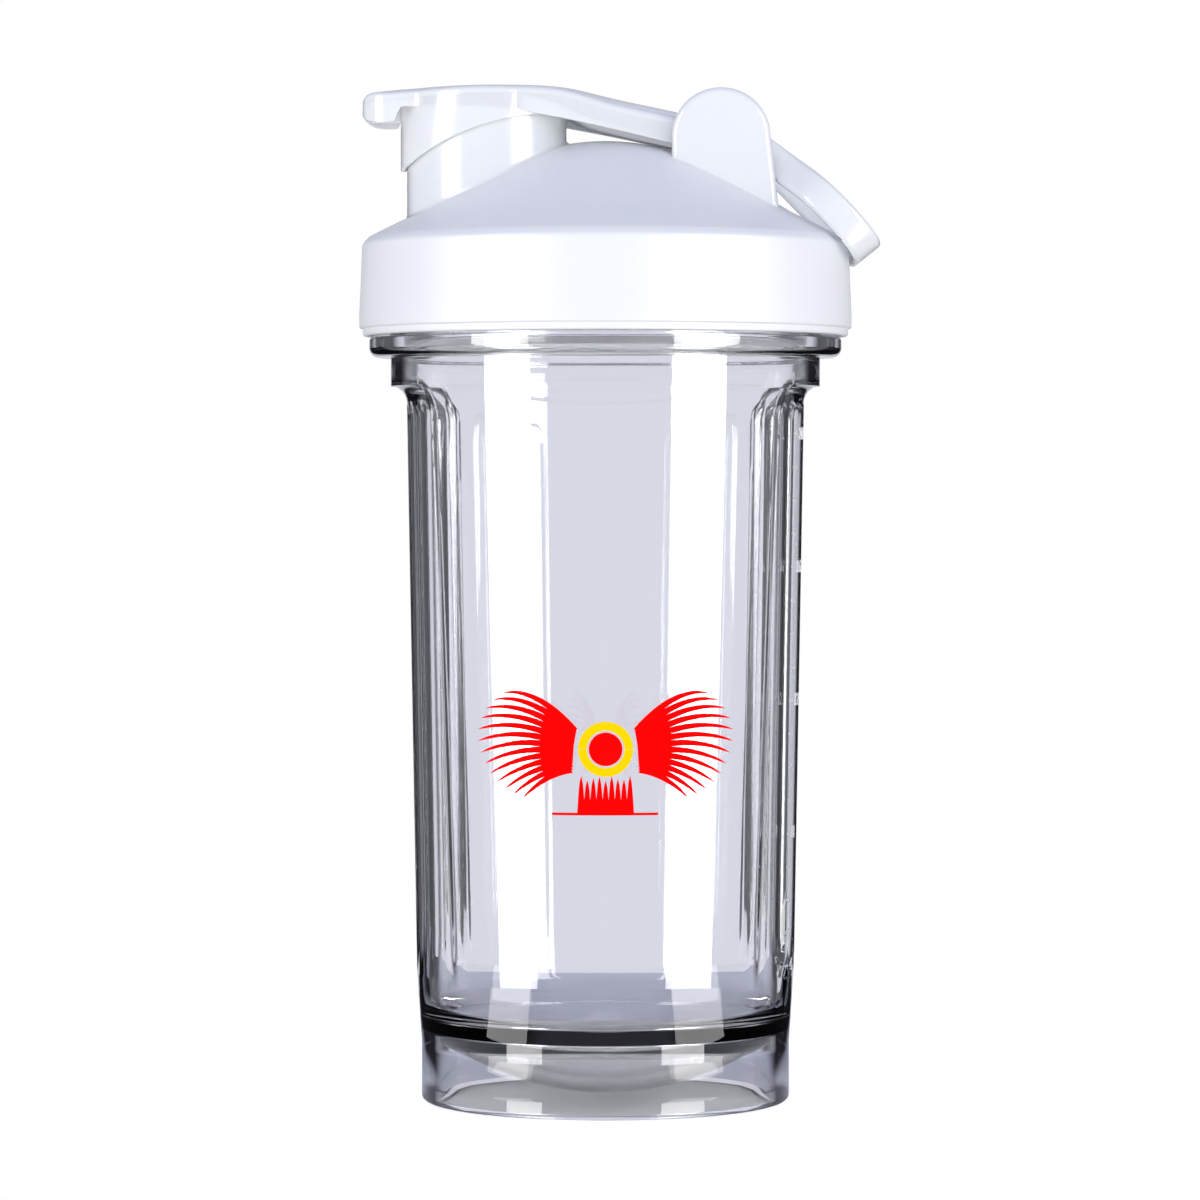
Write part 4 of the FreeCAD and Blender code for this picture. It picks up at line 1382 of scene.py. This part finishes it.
def build_world():
    """White room: plain white where seen directly, a soft front-lit dome for matt light, and for
    reflections and refractions a grey backdrop between two black flags."""
    world = bpy.data.worlds.new("studio")
    bpy.context.scene.world = world
    world.use_nodes = True
    tree = world.node_tree
    where = tree.nodes.new("ShaderNodeTexCoord")
    across, back, up = add_node(tree, "ShaderNodeSeparateXYZ", Vector=where.outputs["Generated"]).outputs
    path = tree.nodes.new("ShaderNodeLightPath").outputs
    turn = math_node(tree, "ABSOLUTE", math_node(tree, "ARCTAN2", across, back))
    backdrop = ramp_node(tree, math_node(tree, "DIVIDE", turn, math.pi), *BACKDROP_STOPS)
    dome = ramp_node(tree, math_node(tree, "MULTIPLY_ADD", up, 0.5, 0.5), *DOME_STOPS)
    front = math_node(tree, "MULTIPLY_ADD", back, -0.3, 1.0)
    unseen = choose(tree, path["Is Diffuse Ray"], background(tree, backdrop), background(tree, dome, front))
    shown = choose(tree, path["Is Camera Ray"], unseen, background(tree, (1, 1, 1, 1)))
    tree.links.new(shown, tree.nodes["World Output"].inputs["Surface"])


def emissive(name, strength):
    made = bpy.data.materials.new(name)
    made.use_nodes = True
    shader = made.node_tree.nodes["Principled BSDF"]
    shader.inputs["Base Color"].default_value = (0, 0, 0, 1)
    shader.inputs["Specular IOR Level"].default_value = 0
    shader.inputs["Emission Color"].default_value = (1, 1, 1, 1)
    shader.inputs["Emission Strength"].default_value = strength
    return made


def build_softboxes():
    """Two tall softboxes seen only in reflections and refractions."""
    for first, last in SOFTBOX_SPANS:
        azimuth = math.radians((first + last) / 2)
        half = SOFTBOX_REACH * math.tan(math.radians(last - first) / 2)
        middle = Vector((math.sin(azimuth), -math.cos(azimuth), 0)) * SOFTBOX_REACH
        along = Vector((math.cos(azimuth), math.sin(azimuth), 0)) * half
        rise = Vector((0, 0, SOFTBOX_HALF_HEIGHT))
        mesh = lattice("softbox", 2, 2, lambda row, column: middle + along * (2 * column - 1)
                       + rise * (2 * row - 1), wrap_columns=False)
        mesh.materials.append(emissive("softbox_light", SOFTBOX_STRENGTH))
        box = bpy.data.objects.new("softbox", mesh)
        bpy.context.scene.collection.objects.link(box)
        box.visible_camera = False
        box.visible_diffuse = False
        box.visible_shadow = False


def area_light(name, place, aim, size, power):
    """Soft light that is only seen as matt shading."""
    data = bpy.data.lights.new(name, "AREA")
    data.shape = "RECTANGLE"
    data.size, data.size_y = size
    data.energy = power
    light = bpy.data.objects.new(name, data)
    light.location = Vector(place)
    light.rotation_euler = (Vector(aim) - light.location).to_track_quat("-Z", "Y").to_euler()
    light.visible_camera = False
    light.visible_glossy = False
    light.visible_transmission = False
    bpy.context.scene.collection.objects.link(light)


def build_lights():
    target = (0, 0, 0.1)
    area_light("key_left", (-0.9, -1.2, 0.45), target, (0.9, 1.2), 1.6)
    area_light("fill_right", (1.1, -1.1, 0.35), target, (0.9, 1.2), 2.0)
    bpy.context.scene.view_settings.view_transform = "Standard"


# ---------------------------------------------------------------- operators

class SHAKER_OT_stage(bpy.types.Operator):
    """Camera, floor, world and lights"""
    bl_idname = "shaker.stage"
    bl_label = "Stage"
    bl_options = {"REGISTER", "UNDO"}

    def execute(self, context):
        build_camera()
        build_floor()
        build_world()
        build_softboxes()
        build_lights()
        return {"FINISHED"}


class SHAKER_OT_cup(bpy.types.Operator):
    """Clear cup with grips, scale strip and neck"""
    bl_idname = "shaker.cup"
    bl_label = "Cup"
    bl_options = {"REGISTER", "UNDO"}

    def execute(self, context):
        build_cup()
        return {"FINISHED"}


class SHAKER_OT_threads(bpy.types.Operator):
    """Screw threads of the cup and the lid"""
    bl_idname = "shaker.threads"
    bl_label = "Threads"
    bl_options = {"REGISTER", "UNDO"}

    def execute(self, context):
        build_threads()
        return {"FINISHED"}


class SHAKER_OT_scale(bpy.types.Operator):
    """Ticks and numerals on the scale strip"""
    bl_idname = "shaker.scale"
    bl_label = "Fluid scale"
    bl_options = {"REGISTER", "UNDO"}

    def execute(self, context):
        build_scale()
        return {"FINISHED"}


class SHAKER_OT_badge(bpy.types.Operator):
    """Printed badge on the cup's front"""
    bl_idname = "shaker.badge"
    bl_label = "Badge"
    bl_options = {"REGISTER", "UNDO"}

    def execute(self, context):
        build_print()
        return {"FINISHED"}


class SHAKER_OT_lid(bpy.types.Operator):
    """Domed screw lid with spout and ears"""
    bl_idname = "shaker.lid"
    bl_label = "Lid"
    bl_options = {"REGISTER", "UNDO"}

    def execute(self, context):
        build_lid()
        return {"FINISHED"}


class SHAKER_OT_flip_cap(bpy.types.Operator):
    """Hinged cap with guard and plug"""
    bl_idname = "shaker.flip_cap"
    bl_label = "Flip cap"
    bl_options = {"REGISTER", "UNDO"}

    def execute(self, context):
        build_flip_cap()
        return {"FINISHED"}


class SHAKER_OT_carry_loop(bpy.types.Operator):
    """D-shaped carry loop"""
    bl_idname = "shaker.carry_loop"
    bl_label = "Carry loop"
    bl_options = {"REGISTER", "UNDO"}

    def execute(self, context):
        build_carry_loop()
        return {"FINISHED"}


class SHAKER_OT_inner_pieces(bpy.types.Operator):
    """Pin, seals and mixing grid"""
    bl_idname = "shaker.inner_pieces"
    bl_label = "Inner pieces"
    bl_options = {"REGISTER", "UNDO"}

    def execute(self, context):
        finish_cad_nodes()
        return {"FINISHED"}


OPERATORS = (
    SHAKER_OT_stage, SHAKER_OT_cup, SHAKER_OT_threads, SHAKER_OT_scale,
    SHAKER_OT_badge, SHAKER_OT_lid, SHAKER_OT_flip_cap,
    SHAKER_OT_carry_loop, SHAKER_OT_inner_pieces,
)


class SHAKER_PT_panel(bpy.types.Panel):
    """Sizes, colours and building steps of the shaker bottle"""
    bl_label = "Shaker bottle"
    bl_idname = "SHAKER_PT_panel"
    bl_space_type = "VIEW_3D"
    bl_region_type = "UI"
    bl_category = "Shaker"

    def draw(self, context):
        for group in (context.scene.shaker_sizes, context.scene.shaker_colours):
            for name in group.__annotations__:
                self.layout.prop(group, name)
        for made in OPERATORS:
            self.layout.operator(made.bl_idname)


CLASSES = (ShakerSizes, ShakerColours, *OPERATORS, SHAKER_PT_panel)


def register():
    for item in CLASSES:
        bpy.utils.register_class(item)
    bpy.types.Scene.shaker_sizes = bpy.props.PointerProperty(type=ShakerSizes)
    bpy.types.Scene.shaker_colours = bpy.props.PointerProperty(type=ShakerColours)


def unregister():
    del bpy.types.Scene.shaker_colours
    del bpy.types.Scene.shaker_sizes
    for item in reversed(CLASSES):
        bpy.utils.unregister_class(item)


def main():
    register()
    for made in OPERATORS:
        group, name = made.bl_idname.split(".")
        getattr(getattr(bpy.ops, group), name)()


if __name__ == "__main__":
    main()
